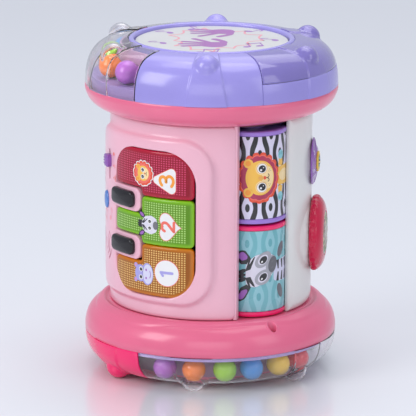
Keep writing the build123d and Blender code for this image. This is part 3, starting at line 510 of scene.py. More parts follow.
M = {
    "pink": material("pink_plastic", PINK, 0.30, **GLOSS),
    "light_pink": material("light_pink_plastic", LIGHT_PINK, 0.30, vary=0.04, **GLOSS),
    "hot_pink": material("hot_pink_plastic", HOT_PINK, 0.22, **GLOSS),
    "lilac": material("lilac_plastic", LILAC, 0.24, **GLOSS),
    "white": material("white_plastic", WHITE, 0.34, vary=0.03, relief=0.12, grain=900.0, Coat_Weight=0.2),
    "clear": clear("clear_plastic", (0.97, 0.95, 0.97)),
    "tinted": material(
        "tinted_plastic", (0.27, 0.22, 0.62), 0.12, Transmission_Weight=0.25, Coat_Weight=0.6,
        Coat_Roughness=0.05
    ),
    "lavender": material("lavender_plastic", (0.48, 0.38, 0.72), 0.45),
    "mauve": material("mauve_plastic", (0.42, 0.24, 0.38), 0.45),
    "tray": material("tray_plastic", (0.27, 0.20, 0.42), 0.4),
    "bay": material("bay_plastic", (0.10, 0.02, 0.04), 0.5),
    "inner": material("unseen_plastic", (0.55, 0.54, 0.52), 0.5),
    "black": material(
        "black_key_plastic", (0.008, 0.007, 0.010), 0.25, vary=0.1, relief=0.0, Specular_IOR_Level=0.3,
        Coat_Weight=0.3, Coat_Roughness=0.05
    ),
    "purple": material("purple_plastic", PURPLE, 0.25, **GLOSS),
    "blue": material("blue_plastic", (0.08, 0.20, 0.55), 0.22, **GLOSS),
    "pad": material("drum_pad_plastic", (0.60, 0.60, 0.59), 0.36, vary=0.03, relief=0.1),
    "dial": material("dial_plastic", (0.56, 0.004, 0.05), 0.24, Specular_IOR_Level=0.3, **GLOSS),
    "steel": material("zinc_steel", (0.60, 0.60, 0.62), 0.35, grain=2500.0, relief=0.2, Metallic=1.0),
    "nickel": material("nickel_contacts", (0.68, 0.64, 0.56), 0.3, Metallic=1.0),
    "cell": material("battery_wrap", (0.03, 0.03, 0.035), 0.35),
    "board": material("solder_mask", (0.02, 0.16, 0.06), 0.35, vary=0.2, patch=120.0),
    "rubber": material("switch_rubber", (0.55, 0.55, 0.52), 0.7),
    "paper": material("speaker_paper", (0.03, 0.03, 0.03), 0.9, relief=0.3),
    # each key's second dotted() colour is the painted glow of its translucent edge, brighter than the key's
    # ground
    "red_key": material(
        "red_key_plastic", (0.27, 0.0, 0.016), 0.3, vary=0.03,
        build_more=dotted((0.66, 0.06, 0.15), (0.50, 0.003, 0.035)), **POLISH
    ),
    "green_key": material(
        "green_key_plastic", (0.10, 0.26, 0.004), 0.3, vary=0.03,
        build_more=dotted((0.46, 0.72, 0.20), (0.25, 0.60, 0.01)), **POLISH
    ),
    "orange_key": material(
        "orange_key_plastic", (0.30, 0.085, 0.002), 0.3, vary=0.03,
        build_more=dotted((0.86, 0.56, 0.18), (0.66, 0.20, 0.002)), **POLISH
    ),
}
INKS = {
    "white": (0.82, 0.82, 0.82), "black": (0.015, 0.015, 0.02), "orange": (0.90, 0.33, 0.04),
    "red": (0.78, 0.08, 0.03), "yellow": (0.90, 0.52, 0.08), "coral": (0.86, 0.16, 0.12),
    "lilac": (0.38, 0.36, 0.74), "grey": (0.16, 0.16, 0.18), "violet": (0.34, 0.12, 0.48),
    "teal": (0.13, 0.42, 0.48), "aqua": (0.26, 0.60, 0.66), "pink": (0.80, 0.25, 0.42),
    "pale": (0.66, 0.66, 0.84), "splat": (0.86, 0.30, 0.36), "hand": (0.36, 0.09, 0.40),
    "cream": (0.95, 0.72, 0.36), "maroon": (0.42, 0.03, 0.09), "tawny": (0.82, 0.42, 0.10),
    "silver": (0.38, 0.38, 0.43), "slate": (0.13, 0.13, 0.15), "snow": (0.72, 0.70, 0.80),
}
INK = {
    key: material(f"ink_{key}", value, 0.3, vary=0.05, grain=2600.0, relief=0.03, Coat_Weight=0.25) for key,
    value in INKS.items()
}
BALLS = {
    "purple": (0.42, 0.12, 0.52), "orange": (0.86, 0.22, 0.03), "green": (0.34, 0.66, 0.05),
    "blue": (0.06, 0.30, 0.72), "yellow": (0.88, 0.58, 0.04), "red": (0.72, 0.03, 0.05),
}
BALL = {
    key: material(f"ball_{key}", value, 0.18, vary=0.05, Coat_Weight=0.5) for key, value in BALLS.items()
}


# ------------------------------------------------------------------ domes with round bumps
BUMP_R, BUMP_AT_R = 10.5, 90.5
TOP_DOME = [(105, 0), (104.6, 8), (102.8, 18), (99, 26), (93, 31.6), (84, 35), (69, 36.8)]
BASE_DOME = [(105, 0), (104.4, 7), (101.8, 14.5), (97.4, 20.2), (91.5, 24.6), (84, 26.6), (75, 27)]
# Below (-1) and above (1): the azimuths of the bumps; the section, its seam and the height of the bumps.
BUMPS = {-1: (-183, -123, -50, -2, 57, 117), 1: (-116, -56, 4, 64, 124, 184)}
ENDS = {-1: (BASE_DOME, BASE_SEAM, 10.0), 1: (TOP_DOME, TOP_SEAM, 270.0)}


def azimuths(start, end, centres, closed_ends=True):
    """Even steps, with finer ones beside each bump and at the ends."""
    a = list(np.arange(start, end, 2.5)) + [end]
    for c in centres:
        a += list(np.linspace(c - 11.5, c + 11.5, 51))
    if closed_ends:
        a += [start + 0.1, start + 0.25, start + 0.5, end - 0.5, end - 0.25, end - 0.1]
    a = np.unique(np.round(np.clip(a, start, end), 4))
    return a[np.r_[True, np.diff(a) > 0.04]] if closed_ends else a


def dome(name, side, span, mat, low=0.0, wall=1.5, rise=1.1, wide=(9.4, 6.6)):
    """A sector of a domed wall whose raised bands each end in a round bump."""
    section, seam, bump_z = ENDS[side]
    centres = [c for c in BUMPS[side] if span[0] < c < span[1]]
    az = azimuths(*span, centres)
    line = spline(section, 0.95)
    line = line[line[:, 1] >= low]
    if line[0][1] > low:
        line = np.concatenate([[[np.interp(low, line[:3, 1], line[:3, 0]), low]], line])
    d = np.gradient(line, axis=0)
    d /= np.hypot(*d.T)[:, None]
    normal = np.stack([d[:, 1], -d[:, 0]], 1)
    a = az[:, None]
    base = polar(a, line[:, 0], seam + side * line[:, 1])
    n = polar(a, normal[:, 0], side * normal[:, 1])
    band = np.full((len(az), len(line)), 0.0)
    bump = np.full_like(band, -9.0)
    hollow = np.full_like(band, -9.0)
    run = np.clip(line[:, 1] / 30.0, 0, 1)
    half = wide[0] * (1 - run) + wide[1] * run
    for c in centres:
        away = np.abs(a - c)
        band = np.maximum(band, rise * ramp(half + 0.45 - away, 0.0, 0.9))
        to = polar(c, BUMP_AT_R, bump_z) - base
        along = (to * n).sum(-1)
        for size, target in ((BUMP_R, bump), (BUMP_R - 1.6, hollow)):
            inside = along**2 - (to**2).sum(-1) + size**2
            far = np.where(inside > 0, along + np.sqrt(np.maximum(inside, 0)), -9.0)
            np.maximum(target, far, out=target)
    outer = soft_max(band, bump, 1.6)
    inner = soft_max(band * 0.9 - wall, hollow, 1.2)
    ends = np.minimum(az - span[0], span[1] - az)[:, None] * 1.7
    foot = np.minimum(line[:, 1] - line[0, 1], (line[-1, 1] - line[:, 1]) + (line[:, 0] - line[-1, 0]))[None]
    outer = outer - 0.45 * (1 - np.clip(ends / 0.7, 0, 1)) ** 2 - 0.3 * (1 - np.clip(foot / 0.9, 0, 1)) ** 2
    inner = np.minimum(inner, outer - 0.8)
    out = base + n * outer[..., None]
    ins = base + n * inner[..., None]
    if side < 0:
        out[..., 2] = np.maximum(out[..., 2], 0.0)
    return shell(name, out, ins, mat, sharp=50)


top_window = dome("top_window", 1, (-149.8, -30.2), M["clear"])
base_window = dome("base_window", -1, (-27.8, 151.8), M["clear"])
for window in (top_window, base_window):
    window.visible_shadow = False  # lamps shine through the clear walls onto the balls
place(top_window, "case", "clear_plastic", "top_window_clear")
place(base_window, "case", "clear_plastic", "base_window_clear")
place(
    dome("top_tinted", 1, (30.3, 149.7), M["tinted"], low=16.7),
    "case", "tinted_plastic", "top_window_tinted",
)
place(dome("base_cover", -1, (-207.8, -28.2), M["hot_pink"]), "case", "hot_pink_cover", "base_cover_pink")
front_dome = dome("top_cover_front", 1, (-29.8, 30.0), M["lilac"])
back_dome = dome("top_cover_back", 1, (150.0, 209.8), M["lilac"])
for obj in (front_dome, back_dome):
    place(obj, "case", "purple_cover", "top_cover")


def skirt():
    """The opaque wall under the tinted window, with the low ends of its raised bands."""
    az = azimuths(30.0, 150.0, (64, 124), closed_ends=False)
    line = spline(TOP_DOME, 0.95)
    line = np.concatenate([line[line[:, 1] < 16.4], [[103.15, 16.5]]])
    d = np.gradient(line, axis=0)
    d /= np.hypot(*d.T)[:, None]
    half = 9.4 - 2.8 * np.clip(line[:, 1] / 30.0, 0, 1)
    band = np.zeros((len(az), len(line)))
    for c in (64, 124):
        band = np.maximum(band, 1.1 * ramp(half + 0.45 - np.abs(az[:, None] - c), 0, 0.9))
    out = band - 0.3 * (1 - np.clip((16.5 - line[:, 1]) / 0.9, 0, 1)) ** 2
    base = polar(az[:, None], line[:, 0], TOP_SEAM + line[:, 1])
    n = polar(az[:, None], d[:, 1], -d[:, 0])
    return shell("top_cover_skirt", base + n * out[..., None], base - n * 1.5, M["lilac"], sharp=50)


place(skirt(), "case", "purple_cover", "top_cover")

# ------------------------------------------------------------------ flanges, trays and rings
SHOULDER = [(105, 37), (102.8, 45.5), (98.2, 51.8), (91.5, 56.6)]


def base_relief(t, r, h):
    """Soft scalloped petals on the shoulder: the inner part stands a little higher."""
    edge = 95.5 + 2.2 * np.cos(3 * t + 0.9) + 0.8 * np.cos(9 * t)
    lift = 0.95 * ramp(edge - r, -0.8, 0.8) * ramp(r, 86.8, 88.2) * ramp(h, 45, 52)
    return r + 0.35 * lift, h + lift


outline = np.concatenate(
    [
        [(104.6, 31.05), (105, 31.6)], spline(SHOULDER, 1.0),
        [(90.2, 57.15), (89.2, 57.2), (88.3, 56.9), (87.4, 56.25), (86, 56.0), (85, 56.05)],
        [(84.4, 56.5), (84.1, 57.0), (60, 57.0), (16, 57.0), (16, 54.5), (88, 54.5)],
        spline([(90.4, 54.3), (96.4, 49.9), (100.4, 44.5), (102.5, 37)], 3.0), [(102.5, 31.05)],
    ]
)
base = lathe("base_flange", outline, M["pink"], 216, shape=base_relief, sharp=45)
EYELET = tuple(polar(38.0, 97.0, 0)[:2])


def on_shoulder(t, r, h):
    """Heights taken from the shoulder under each point round the eyelet."""
    away = np.hypot(EYELET[0] + r * np.cos(t), EYELET[1] + r * np.sin(t))
    return r, h + np.interp(away, [90.2, 91.5, 95.0, 98.2, 102.8], [57.15, 56.6, 54.3, 51.8, 45.5])


cut_away(
    base,
    [lathe("eyelet", [(0, 40), (4.3, 40), (4.3, 62), (0, 62)], M["pink"], 48, centre=EYELET, closed=False)]
)
place(base, "case", "pink_shell", "base_flange")
rim = [
    (3.5, -7.0), (3.5, -0.1), (3.7, 0.45), (4.2, 0.75), (4.9, 0.65), (5.6, 0.2), (5.9, -0.15), (5.6, -0.5),
    (4.4, -0.5), (4.35, -8.0), (0, -8.0), (0, -7.0)
]
place(
    lathe("eyelet_rim", rim, M["pink"], 48, centre=EYELET, closed=False, shape=on_shoulder), "case",
    "pink_shell"
)

under = spline([(105, 236.5), (101.4, 228.6), (95, 223.4), (86, 220.2)], 1.0)
outline = np.concatenate(
    [
        [(102.5, 240.45), (104.6, 240.45), (105, 239.9)], under,
        [(84, 220.0), (16, 220.0), (16, 222.5), (86, 222.5)],
        spline([(88, 223.0), (93.9, 225.7), (99.2, 230.4), (102.4, 237.0)], 3.0)
    ]
)
place(lathe("top_flange", outline, M["pink"], 216, sharp=45), "case", "pink_shell", "top_flange")

ceiling = slab(73, 102.1, 27.6, 30.6, 0.5)
place(lathe("base_ball_ceiling", ceiling, M["lavender"], 160), "case", "lavender_tray", "base_ball_tray")
wall = fill_in(slab(73, 75, 6.7, 27.5, 0.3), 4.0)
place(lathe("base_ball_wall", wall, M["mauve"], 160), "case", "lavender_tray", "base_ball_tray")
tray = rounded(
    [(76.2, 246.7), (98.0, 246.7), (98.0, 238.5), (99.6, 238.5), (99.6, 248.4), (76.2, 248.4)], 0.4
)
place(lathe("top_ball_floor", tray, M["tray"], 160), "case", "mauve_tray", "top_ball_tray")
wall = fill_in(slab(74, 76, 222.7, 273, 0.3), 4.0)
place(lathe("top_ball_wall", wall, M["mauve"], 160), "case", "mauve_tray", "top_ball_tray")

well = np.concatenate(
    [
        [(0, 262), (66.7, 262), (66.7, 273.8), (68.6, 274.4), (69.0, 275.0)],
        spline([(69.0, 276.0), (68.4, 277.4), (66.6, 278.15), (64.9, 277.7)], 0.5),
        [(64.35, 277.0), (64.2, 276.0), (64.2, 264.6), (63.8, 264.0), (0, 264.0)],
    ]
)
place(
    lathe("pad_ring", fill_in(well, 6, False), M["lilac"], 192, closed=False), "case", "purple_cover",
    "top_cover"
)
disc = [
    (0, 272.5), (59.5, 272.5), (59.5, 267.4), (61.5, 267.4), (61.5, 272.5), (63.6, 272.5), (63.6, 274.2),
    (63.3, 275.0), (62.5, 275.4), (61.5, 275.5), (0, 275.5)
]
place(
    lathe("drum_pad", fill_in(np.array(disc, float), 6, False), M["pad"], 160, closed=False), "pad",
    "pad_white", "drum_pad"
)


# ------------------------------------------------------------------ prints on the drum pad
def hand():
    """A small open hand: wrist at the right, fingers to the left, thumb at the top."""
    palm = rounded(
        [(-9, -11), (0, -14), (8, -12), (11, -4), (10, 5), (5, 9), (-3, 8), (-9, 8)],
        [3, 6, 6, 6, 5, 4, 4, 3]
    )
    fingers = [(-24, -12, -7), (-27, -3, -2), (-26, 7, 2.5), (-19, 20, 6)]
    lines = [[(-5, root), ((x - 5) / 2, (root + y) / 2 + 0.6), (x, y)] for x, y, root in fingers]
    thumb = stroke([(7, 2), (6.5, 11), (2, 17), (-2, 21)], 6.0)
    return [palm, thumb, *[stroke(line, 5.2) for line in lines]]


def moved(shapes, x, y, turn=0.0, size=1.0, flip=1):
    c, s = math.cos(math.radians(turn)) * size, math.sin(math.radians(turn)) * size
    return [
        np.stack([x + c * p[..., 0] - s * flip * p[..., 1], y + s * p[..., 0] + c * flip * p[..., 1]], -1)
        for p in map(np.asarray, shapes)
    ]


def note(x, y, turn, pair=False, size=1.0):
    parts = [
        ellipse(0, 0, 2.6, 1.9, 20), stroke([(2.2, 0.4), (2.4, 8.4)], 0.8),
        stroke([(2.4, 8.4), (4.6, 6.9), (4.9, 4.6)], 1.1)
    ]
    if pair:
        parts = [
            ellipse(0, 0, 2.4, 1.8, 20), ellipse(7.5, 1.2, 2.4, 1.8, 20),
            stroke([(2.0, 0.4), (2.0, 8.0)], 0.8), stroke([(9.5, 1.6), (9.5, 9.2)], 0.8),
            stroke([(1.9, 8.0), (9.6, 9.2)], 1.8)
        ]
    return moved(parts, x, y, turn, size)


low_hand, far_hand = moved(hand(), 4, -18), moved(hand(), 5, 35, 4, 0.94, -1)
for i, shape in enumerate(low_hand + far_hand):
    lift = PAD_TOP + 0.05 + LAYER * (i % 6)
    place(decal(f"pad_hand_{i}", [shape], INK["hand"], level(lift), 0), "pad", "pad_white")
TIPS = 13
for i in range(TIPS):
    ends = []
    for a in (2 * math.pi * (i + k) / TIPS for k in (0, 0.5, 1)):
        reach = (44 if len(ends) != 1 else 36) + 4 * math.sin(3 * a + 0.6) + 2 * math.sin(7 * a)
        ends.append((2 + 0.88 * reach * math.cos(a), 3 + 1.12 * reach * math.sin(a)))
    place(
        decal(
            f"pad_splat_{i}", [stroke(ends, 1.7)], INK["splat"], level(PAD_TOP + 0.04 + LAYER * (i % 3)), 0
        ),
        "pad", "pad_white"
    )
k = 0
for spec in (
    (-38, -20, 90), (-38, 26, 88), (32, -26, 20, True), (52, 6, 92), (-4, -54, 0, True), (-22, 44, 30),
    (26, 42, 330)
):
    for shape in note(*spec[:3], pair=len(spec) > 3, size=1.5):
        place(
            decal(f"pad_note_{k}", [shape], INK["violet"], level(PAD_TOP + 0.04 + LAYER * (k % 5)), 0),
            "pad", "pad_white"
        )
        k += 1

# ------------------------------------------------------------------ column shells

def arc(az):
    """Azimuth in degrees to arc length on the column."""
    return math.radians(az) * UNROLL


def box_outline(left, right, low, high, radius, step=0.5):
    return fill_in(slab(left, right, low, high, radius, step), step)


def cast(outline, centre, angles):
    """Where rays from the centre cross an outline."""
    d = outline - centre
    a = np.arctan2(d[:, 1], d[:, 0])
    order = np.argsort(a)
    reach = np.interp(angles, a[order], np.hypot(*d.T)[order], period=2 * np.pi)
    return centre + reach[:, None] * np.stack([np.cos(angles), np.sin(angles)], 1)


def framed_wall(name, mat, span, frame, frame_z, corner, high, opening=None):
    """A sector of the column whose middle stands out as a soft-edged frame, with or without an opening."""
    edge = box_outline(arc(span[0]), arc(span[1]), 57.4, 219.6, 5.0)
    panel = box_outline(arc(frame[0]), arc(frame[1]), *frame_z, corner)
    centre = np.array([panel[:, 0].mean(), panel[:, 1].mean()]) if opening is None else opening[1]
    angles = np.unique(np.round(np.arctan2(*(edge[::4] - centre).T[::-1]), 5))
    loops = []

    def add(line, radius):
        loops.append(np.column_stack([line, np.full(len(line), radius)]))

    step = [
        (-5.0, 0.0), (-3.2, 0.03), (-2.0, 0.13), (-1.0, 0.32), (-0.2, 0.55), (0.6, 0.76), (1.6, 0.9),
        (2.8, 0.97), (4.4, 1.0)
    ]
    if opening is None:
        first = centre + (cast(inset(panel, 5.0), centre, angles) - centre) * 0.02
        add(first, high)
    else:
        hole = opening[0]
        for grow, radius in ((0, 81.4), (0, 86.6), (0.12, 87.1), (0.45, 87.55), (1.0, 87.86), (1.7, 88.0)):
            add(cast(inset(hole, -grow), centre, angles), radius)
        first = loops[-1][:, :2]
    last = cast(inset(panel, 5.0), centre, angles)
    for t in np.linspace(0, 1, 13)[1:-1]:
        add(first + (last - first) * t, high)
    for grow, drop in step:
        add(cast(inset(panel, -grow), centre, angles), high + (COLUMN_R - high) * drop)
    first, last = loops[-1][:, :2], cast(inset(edge, 3.2), centre, angles)
    for t in (0.33, 0.67, 1.0):
        add(first + (last - first) * t, COLUMN_R)
    for inside, radius in (
        (2.4, 83.95), (1.6, 83.8), (0.95, 83.5), (0.4, 83.0), (0.1, 82.4), (0.0, 81.9), (0.0, 81.6)
    ):
        add(cast(inset(edge, inside), centre, angles), radius)
    first = loops[-1][:, :2]
    last = centre + (first - centre) * 0.02 if opening is None else loops[0][:, :2]
    for t in (0.0, 0.2, 0.4, 0.6, 0.8) + ((1.0,) if opening is None else ()):
        add(first + (last - first) * t, 81.2)
    flat = np.concatenate(loops)
    faces = grid_faces(len(loops), len(angles), opening is not None, True)
    if opening is None:
        faces += [tuple(range(len(angles))), tuple(len(flat) - 1 - i for i in range(len(angles)))]
    return build(
        name, polar(np.degrees(flat[:, 0] / UNROLL), flat[:, 2], flat[:, 1]), faces, mat,
        uv=flat[:, :2] * MM, sharp=50
    )


def capped(n):
    """The faces of a bar between two outlines of n points."""
    return grid_faces(2, n, False, True) + [tuple(range(n)), tuple(range(2 * n - 1, n - 1, -1))]


def plug(outline, az, z, near=70.0, far=96.0):
    """A straight cutter through the column wall."""
    n = len(outline)
    a = math.radians(az)
    out, across = np.array([math.sin(a), -math.cos(a), 0]), np.array([math.cos(a), math.sin(a), 0])
    rings = [
        out * d + across * outline[:, :1] + (0, 0, z) + np.array([0, 0, 1.0]) * outline[:, 1:]
        for d in (near, far)
    ]
    return build("cutter", np.concatenate(rings), capped(n), M["inner"])


def prism(name, outline, low, high, mat):
    """An upright bar."""
    n = len(outline)
    rings = [np.column_stack([outline, np.full(n, z)]) for z in (low, high)]
    return build(name, np.concatenate(rings), capped(n), mat)


OPENING = box_outline(arc(-57.0), arc(-1.6), 75.0, 198.0, 28.0)
front = framed_wall(
    "front_shell", M["light_pink"], (-95.0, 21.0), (-88.0, 8.0), (69.5, 208.5), 28.0, 88.0,
    (OPENING, np.array([-45.0, 136.5]))
)
cutters = [
    plug(slab(-1.8, 1.8, -13, 13, 1.7, 0.4), SLIDER_AZ, 176.5),
    plug(ellipse(0, 0, 6.4, 7.8, n=48), BUTTON_AZ, BUTTON_Z)
]
for reach in (5.0, 9.5, 14.0):
    for side in (0, 180):
        bow = [
            (reach * math.cos(math.radians(side + a)), reach * math.sin(math.radians(side + a)))
            for a in (-52, -26, 0, 26, 52)
        ]
        cutters.append(plug(ring_of(stroke(bow, 1.8)), -72.0, 107.0))
cut_away(front, cutters)
place(front, "case", "light_pink_shell", "body_front_shell")
turned_in = rounded([(30.2, -78.2), (31.5, -71.2), (29.1, -70.8), (27.4, -78.2)], 0.5, 0.2)
place(
    prism("front_shell_return", turned_in, 57.6, 219.4, M["light_pink"]), "case", "light_pink_shell",
    "body_front_shell"
)
for z in BLACK_KEY_Z:
    tongue = slab(-99, arc(-34.6), z - 10, z + 10, [2, 6.5, 6.5, 2], 0.6)
    place(
        pad(f"front_shell_tongue_{z:.0f}", tongue, (-78, z), UNROLL, 88.03, 81.6, 1.1, M["light_pink"]),
        "case", "light_pink_shell", "body_front_shell"
    )
back = framed_wall("back_shell", M["light_pink"], (123.3, 264.7), (148.0, 240.0), (69.5, 208.5), 26.0, 85.6)
cut_away(
    back,
    [plug(ellipse(0, 0, 4.2, n=40), az, z, 79.2, 96.0) for az in (140.0, 248.0) for z in (66.5, 211.5)]
)
place(back, "case", "light_pink_shell", "body_back_shell")


def side_panel():
    """The white wall with its pillowed edges, and a low round boss behind each side toy."""
    az = np.unique(
        np.r_[np.linspace(57.2, 61.4, 22), np.arange(61.4, 118.6, 0.8), np.linspace(118.6, 122.8, 22)]
    )
    z = np.unique(
        np.r_[np.linspace(57.4, 63.4, 18), np.arange(63.4, 213.6, 1.15), np.linspace(213.6, 219.6, 18)]
    )
    a, h = np.meshgrid(az, z, indexing="ij")
    s = np.sin(np.radians(a))
    radius = np.full_like(a, COLUMN_R)
    for _ in range(2):
        for seat_z, size in ((SPINNER_Z, 16.8), (DIAL_Z, 28.0)):
            away = np.hypot(radius * np.cos(np.radians(a)), h - seat_z)
            boss = (84.3 - 1.6 * np.maximum(away - size, 0)) / s
            radius = np.where(away < size + 6, soft_max(np.full_like(a, COLUMN_R), boss, 0.5), radius)
    edge = np.minimum.reduce([(a - 57.2) * 1.46, (122.8 - a) * 1.46, h - 57.4, 219.6 - h])
    radius = radius - 3.2 * (1 - np.sqrt(np.clip(1 - (1 - np.clip(edge / 6.0, 0, 1)) ** 2, 0, 1)))
    return shell(
        "side_panel", polar(a, radius, h), polar(a, np.minimum(81.4, radius - 1.4), h), M["white"], sharp=50
    )


white = side_panel()
cut_away(white, [plug(ellipse(0, 0, 3.1, n=32), 90.0, z) for z in (SPINNER_Z, DIAL_Z)])
place(white, "case", "white_shell", "side_panel")

# ------------------------------------------------------------------ keyboard
LEFT, NOTCH, RIGHT = arc(-56.5), arc(-34.0), arc(-2.4)
red = rounded(
    [(NOTCH, 158.8), (RIGHT, 158.8), (RIGHT, 197.4), (LEFT, 197.4), (LEFT, 165.2), (NOTCH, 165.2)],
    [3, 4, 27, 27, 4, 3], 0.8
)
green = rounded(
    [
        (NOTCH, 118.7), (RIGHT, 118.7), (RIGHT, 158.1), (NOTCH, 158.1), (NOTCH, 143.2), (LEFT, 143.2),
        (LEFT, 125.0), (NOTCH, 125.0)
    ],
    [3, 4, 4, 3, 3, 4, 4, 3], 0.8
)
orange = rounded(
    [(LEFT, 75.6), (RIGHT, 75.6), (RIGHT, 118.1), (NOTCH, 118.1), (NOTCH, 103.2), (LEFT, 103.2)],
    [27, 27, 4, 3, 3, 4], 0.8
)
for key, outline, centre in (
    ("red", red, (-34, 179)), ("green", green, (-36, 134.2)), ("orange", orange, (-34, 97))
):
    place(
        pad(f"{key}_key", outline, centre, UNROLL, 87.5, 83.4, 1.9, M[f"{key}_key"]), f"{key}_key",
        f"{key}_key", f"key_{key}"
    )
for z in BLACK_KEY_Z:
    outline = slab(arc(-57.8), arc(-38.4), z - 6.85, z + 6.85, 4.6, 0.6)
    place(
        pad(f"black_key_{z:.0f}", outline, (arc(-48.1), z), UNROLL, 92.4, 87.9, 2.2, M["black"], crown=0.5),
        "case", "black_key", "black_keys"
    )


def print_on(prefix, body, slot, surface, layers, at=(0, 0), size=1.0, side_on=True, lift=0.05, cut=2.5):
    """Prints layers of (ink, shapes), each a little higher. side_on turns a drawing's top to the left."""
    for i, (ink, shapes) in enumerate(layers):
        laid = [sideways(s, *at, size) if side_on else np.asarray(s, float) * size + at for s in shapes]
        obj = decal(f"{prefix}_{i}", laid, INK[ink], lambda x, z, k=lift + 0.035 * i: surface(x, z, k), cut)
        place(obj, body, slot)


def lion():
    """A round-faced lion with a scalloped mane."""
    face = ellipse(0, -0.4, 6.3, 6.0)
    ears = twins(5.0, 5.0, 2.1)
    layers = [
        ("white", [scallops(0, 0, 11.1, 15, 1.5)]), ("red", [scallops(0, 0, 10.3, 15, 1.5)]),
        ("coral", [scallops(0, 0, 8.6, 15, 0.9)]), ("yellow", [face, *ears])
    ]
    layers += [("cream", [ellipse(0, -3.0, 4.6, 3.2)]), ("orange", twins(5.0, 5.1, 1.2))]
    layers += [("white", twins(2.9, 0.0, 2.0)), ("black", twins(2.8, 0.0, 1.35))]
    layers += [("white", twins(2.8, 0.5, 0.4, shift=-0.4))]
    layers += [("red", [rounded([(-1.1, -1.5), (1.1, -1.5), (0, -2.8)][::-1], 0.4, 0.2)])]
    layers += [
        (
            "black",
            [
                stroke([(0, -3.0), (-0.5, -4.0), (-1.5, -4.0)], 0.35, 0.3),
                stroke([(0, -3.0), (0.5, -4.0), (1.5, -4.0)], 0.35, 0.3)
            ]
        )
    ]
    return layers


def zebra():
    """A zebra's face: long muzzle, striped brow, and ears held wide."""
    head = rounded(
        [(-4.2, -7), (4.2, -7), (6.4, -1.5), (5.2, 4.6), (0, 8), (-5.2, 4.6), (-6.4, -1.5)],
        [3.6, 3.6, 4, 3, 3, 3, 4], 0.4
    )
    across, up = drop_shape(0, 0, 4.4, 9.0).T
    ears = [
        np.stack([s * (7.2 + 0.75 * across + 0.5 * up), 7.2 - 0.55 * across + 0.72 * up], 1)
        for s in (-1, 1)
    ]
    ears[0] = ears[0][::-1]
    middles = [(e - e.mean(0)) * 0.6 + e.mean(0) for e in ears]
    brow = [
        rounded(
            [(s * 0.6, 7.6), (s * 4.4, 4.6 - k), (s * 4.6, 3.7 - k), (s * 0.6, 6.4 - 0.5 * k)][
                :: 1 if s < 0 else -1
            ],
            0.2, 0.3
        )
        for s in (-1, 1) for k in (0, 2.2)
    ]
    mane = [drop_shape(x, 9.3 - abs(x) * 0.3, 2.2, 5.0) for x in (-1.8, 0, 1.8)]
    layers = [("black", ears + mane), ("violet", middles), ("snow", [head * (1.15, 1)]), ("black", brow)]
    layers += [("white", twins(2.6, -0.2, 1.9, 2.1)), ("black", twins(2.6, -0.2, 1.15, 1.3))]
    layers += [("white", twins(2.6, 0.3, 0.35, shift=-0.35)), ("grey", [ellipse(0, -5.6, 3.2, 2.3)])]
    return layers


def hippo():
    """A hippo's face: a wide muzzle under a smaller brow."""
    ears = twins(4.6, 6.4, 1.5)
    layers = [
        ("lilac", ears + [ellipse(0, 2.4, 5.4, 4.6), ellipse(0, -3.0, 7.0, 4.6)]),
        ("pink", twins(4.6, 6.5, 0.75))
    ]
    layers += [("pale", [ellipse(0, -3.4, 6.2, 3.8)]), ("white", twins(2.6, 2.0, 1.6))]
    layers += [("black", twins(2.5, 2.0, 1.05)), ("violet", twins(2.6, -2.2, 0.8, 0.6))]
    layers += [("violet", [stroke([(-2.2, -5.0), (0, -5.7), (2.2, -5.0)], 0.4, 0.3)])]
    return layers


on_keys = wrapped(UNROLL, -0.5)
triangle = rounded([(-12.8, -8.2), (12.8, -8.2), (0, 15.6)], [3.6, 3.6, 3.2], 0.5)
badges = {
    "red": (-18.0, 173.8, [triangle], "orange", "3"),
    "green": (-16.4, 135.4, [heart(0, 0.5, 11.4)], "coral", "2"),
    "orange": (-17.8, 96.4, [ellipse(0, 0, 10.8)], "lilac", "1"),
}
for key, (az, z, shapes, ink, number) in badges.items():
    grown = [inset(s, -0.5) for s in shapes]
    print_on(
        f"{key}_badge", f"{key}_key", f"{key}_key", on_keys, [("coral", grown), ("white", shapes)],
        (arc(az), z)
    )
    size, shift = {"3": (1.02, 0.2), "2": (0.94, -0.9), "1": (0.92, 0.0)}[number]
    print_on(
        f"{key}_number", f"{key}_key", f"{key}_key", on_keys, [(ink, digit(number))], (arc(az) + shift, z),
        size, lift=0.14
    )
print_on("red_lion", "red_key", "red_key", on_keys, lion(), (arc(-33.0), 177.6), 1.0)
print_on("green_zebra", "green_key", "green_key", on_keys, zebra(), (arc(-28.4), 135.4), 1.08)
print_on("orange_hippo", "orange_key", "orange_key", on_keys, hippo(), (arc(-32.4), 93.4), 1.32)

# ------------------------------------------------------------------ slider and button
slot_x = arc(SLIDER_AZ)
knob = slab(slot_x - 4.5, slot_x + 4.5, 174.2, 184.8, 2.2, 0.4)
place(
    pad("power_slider", knob, (slot_x, 179.5), UNROLL, 92.4, 87.6, 1.3, M["purple"], crown=0.3), "slider",
    "purple_control", "power_slider"
)
for z in (177.2, 179.5, 181.8):
    ridge = slab(slot_x - 3, slot_x + 3, z - 0.5, z + 0.5, 0.4, 0.2)
    place(
        pad(f"power_slider_ridge_{z:.0f}", ridge, (slot_x, z), UNROLL, 92.7, 91.8, 0.4, M["purple"]),
        "slider", "purple_control"
    )
oval = ellipse(arc(BUTTON_AZ), BUTTON_Z, 6.0, 7.4, n=72)
place(
    pad("mode_button", oval, (arc(BUTTON_AZ), BUTTON_Z), UNROLL, 90.3, 79.0, 1.7, M["blue"], crown=0.6),
    "button", "blue_button", "mode_button"
)
on_shell = wrapped(UNROLL, 0.0)
marks = [
    ellipse(arc(MARKS_AZ), 186.5, 1.5), ellipse(arc(MARKS_AZ), 176.5, 0.9),
    ellipse(arc(MARKS_AZ), 166.5, 0.9)
]
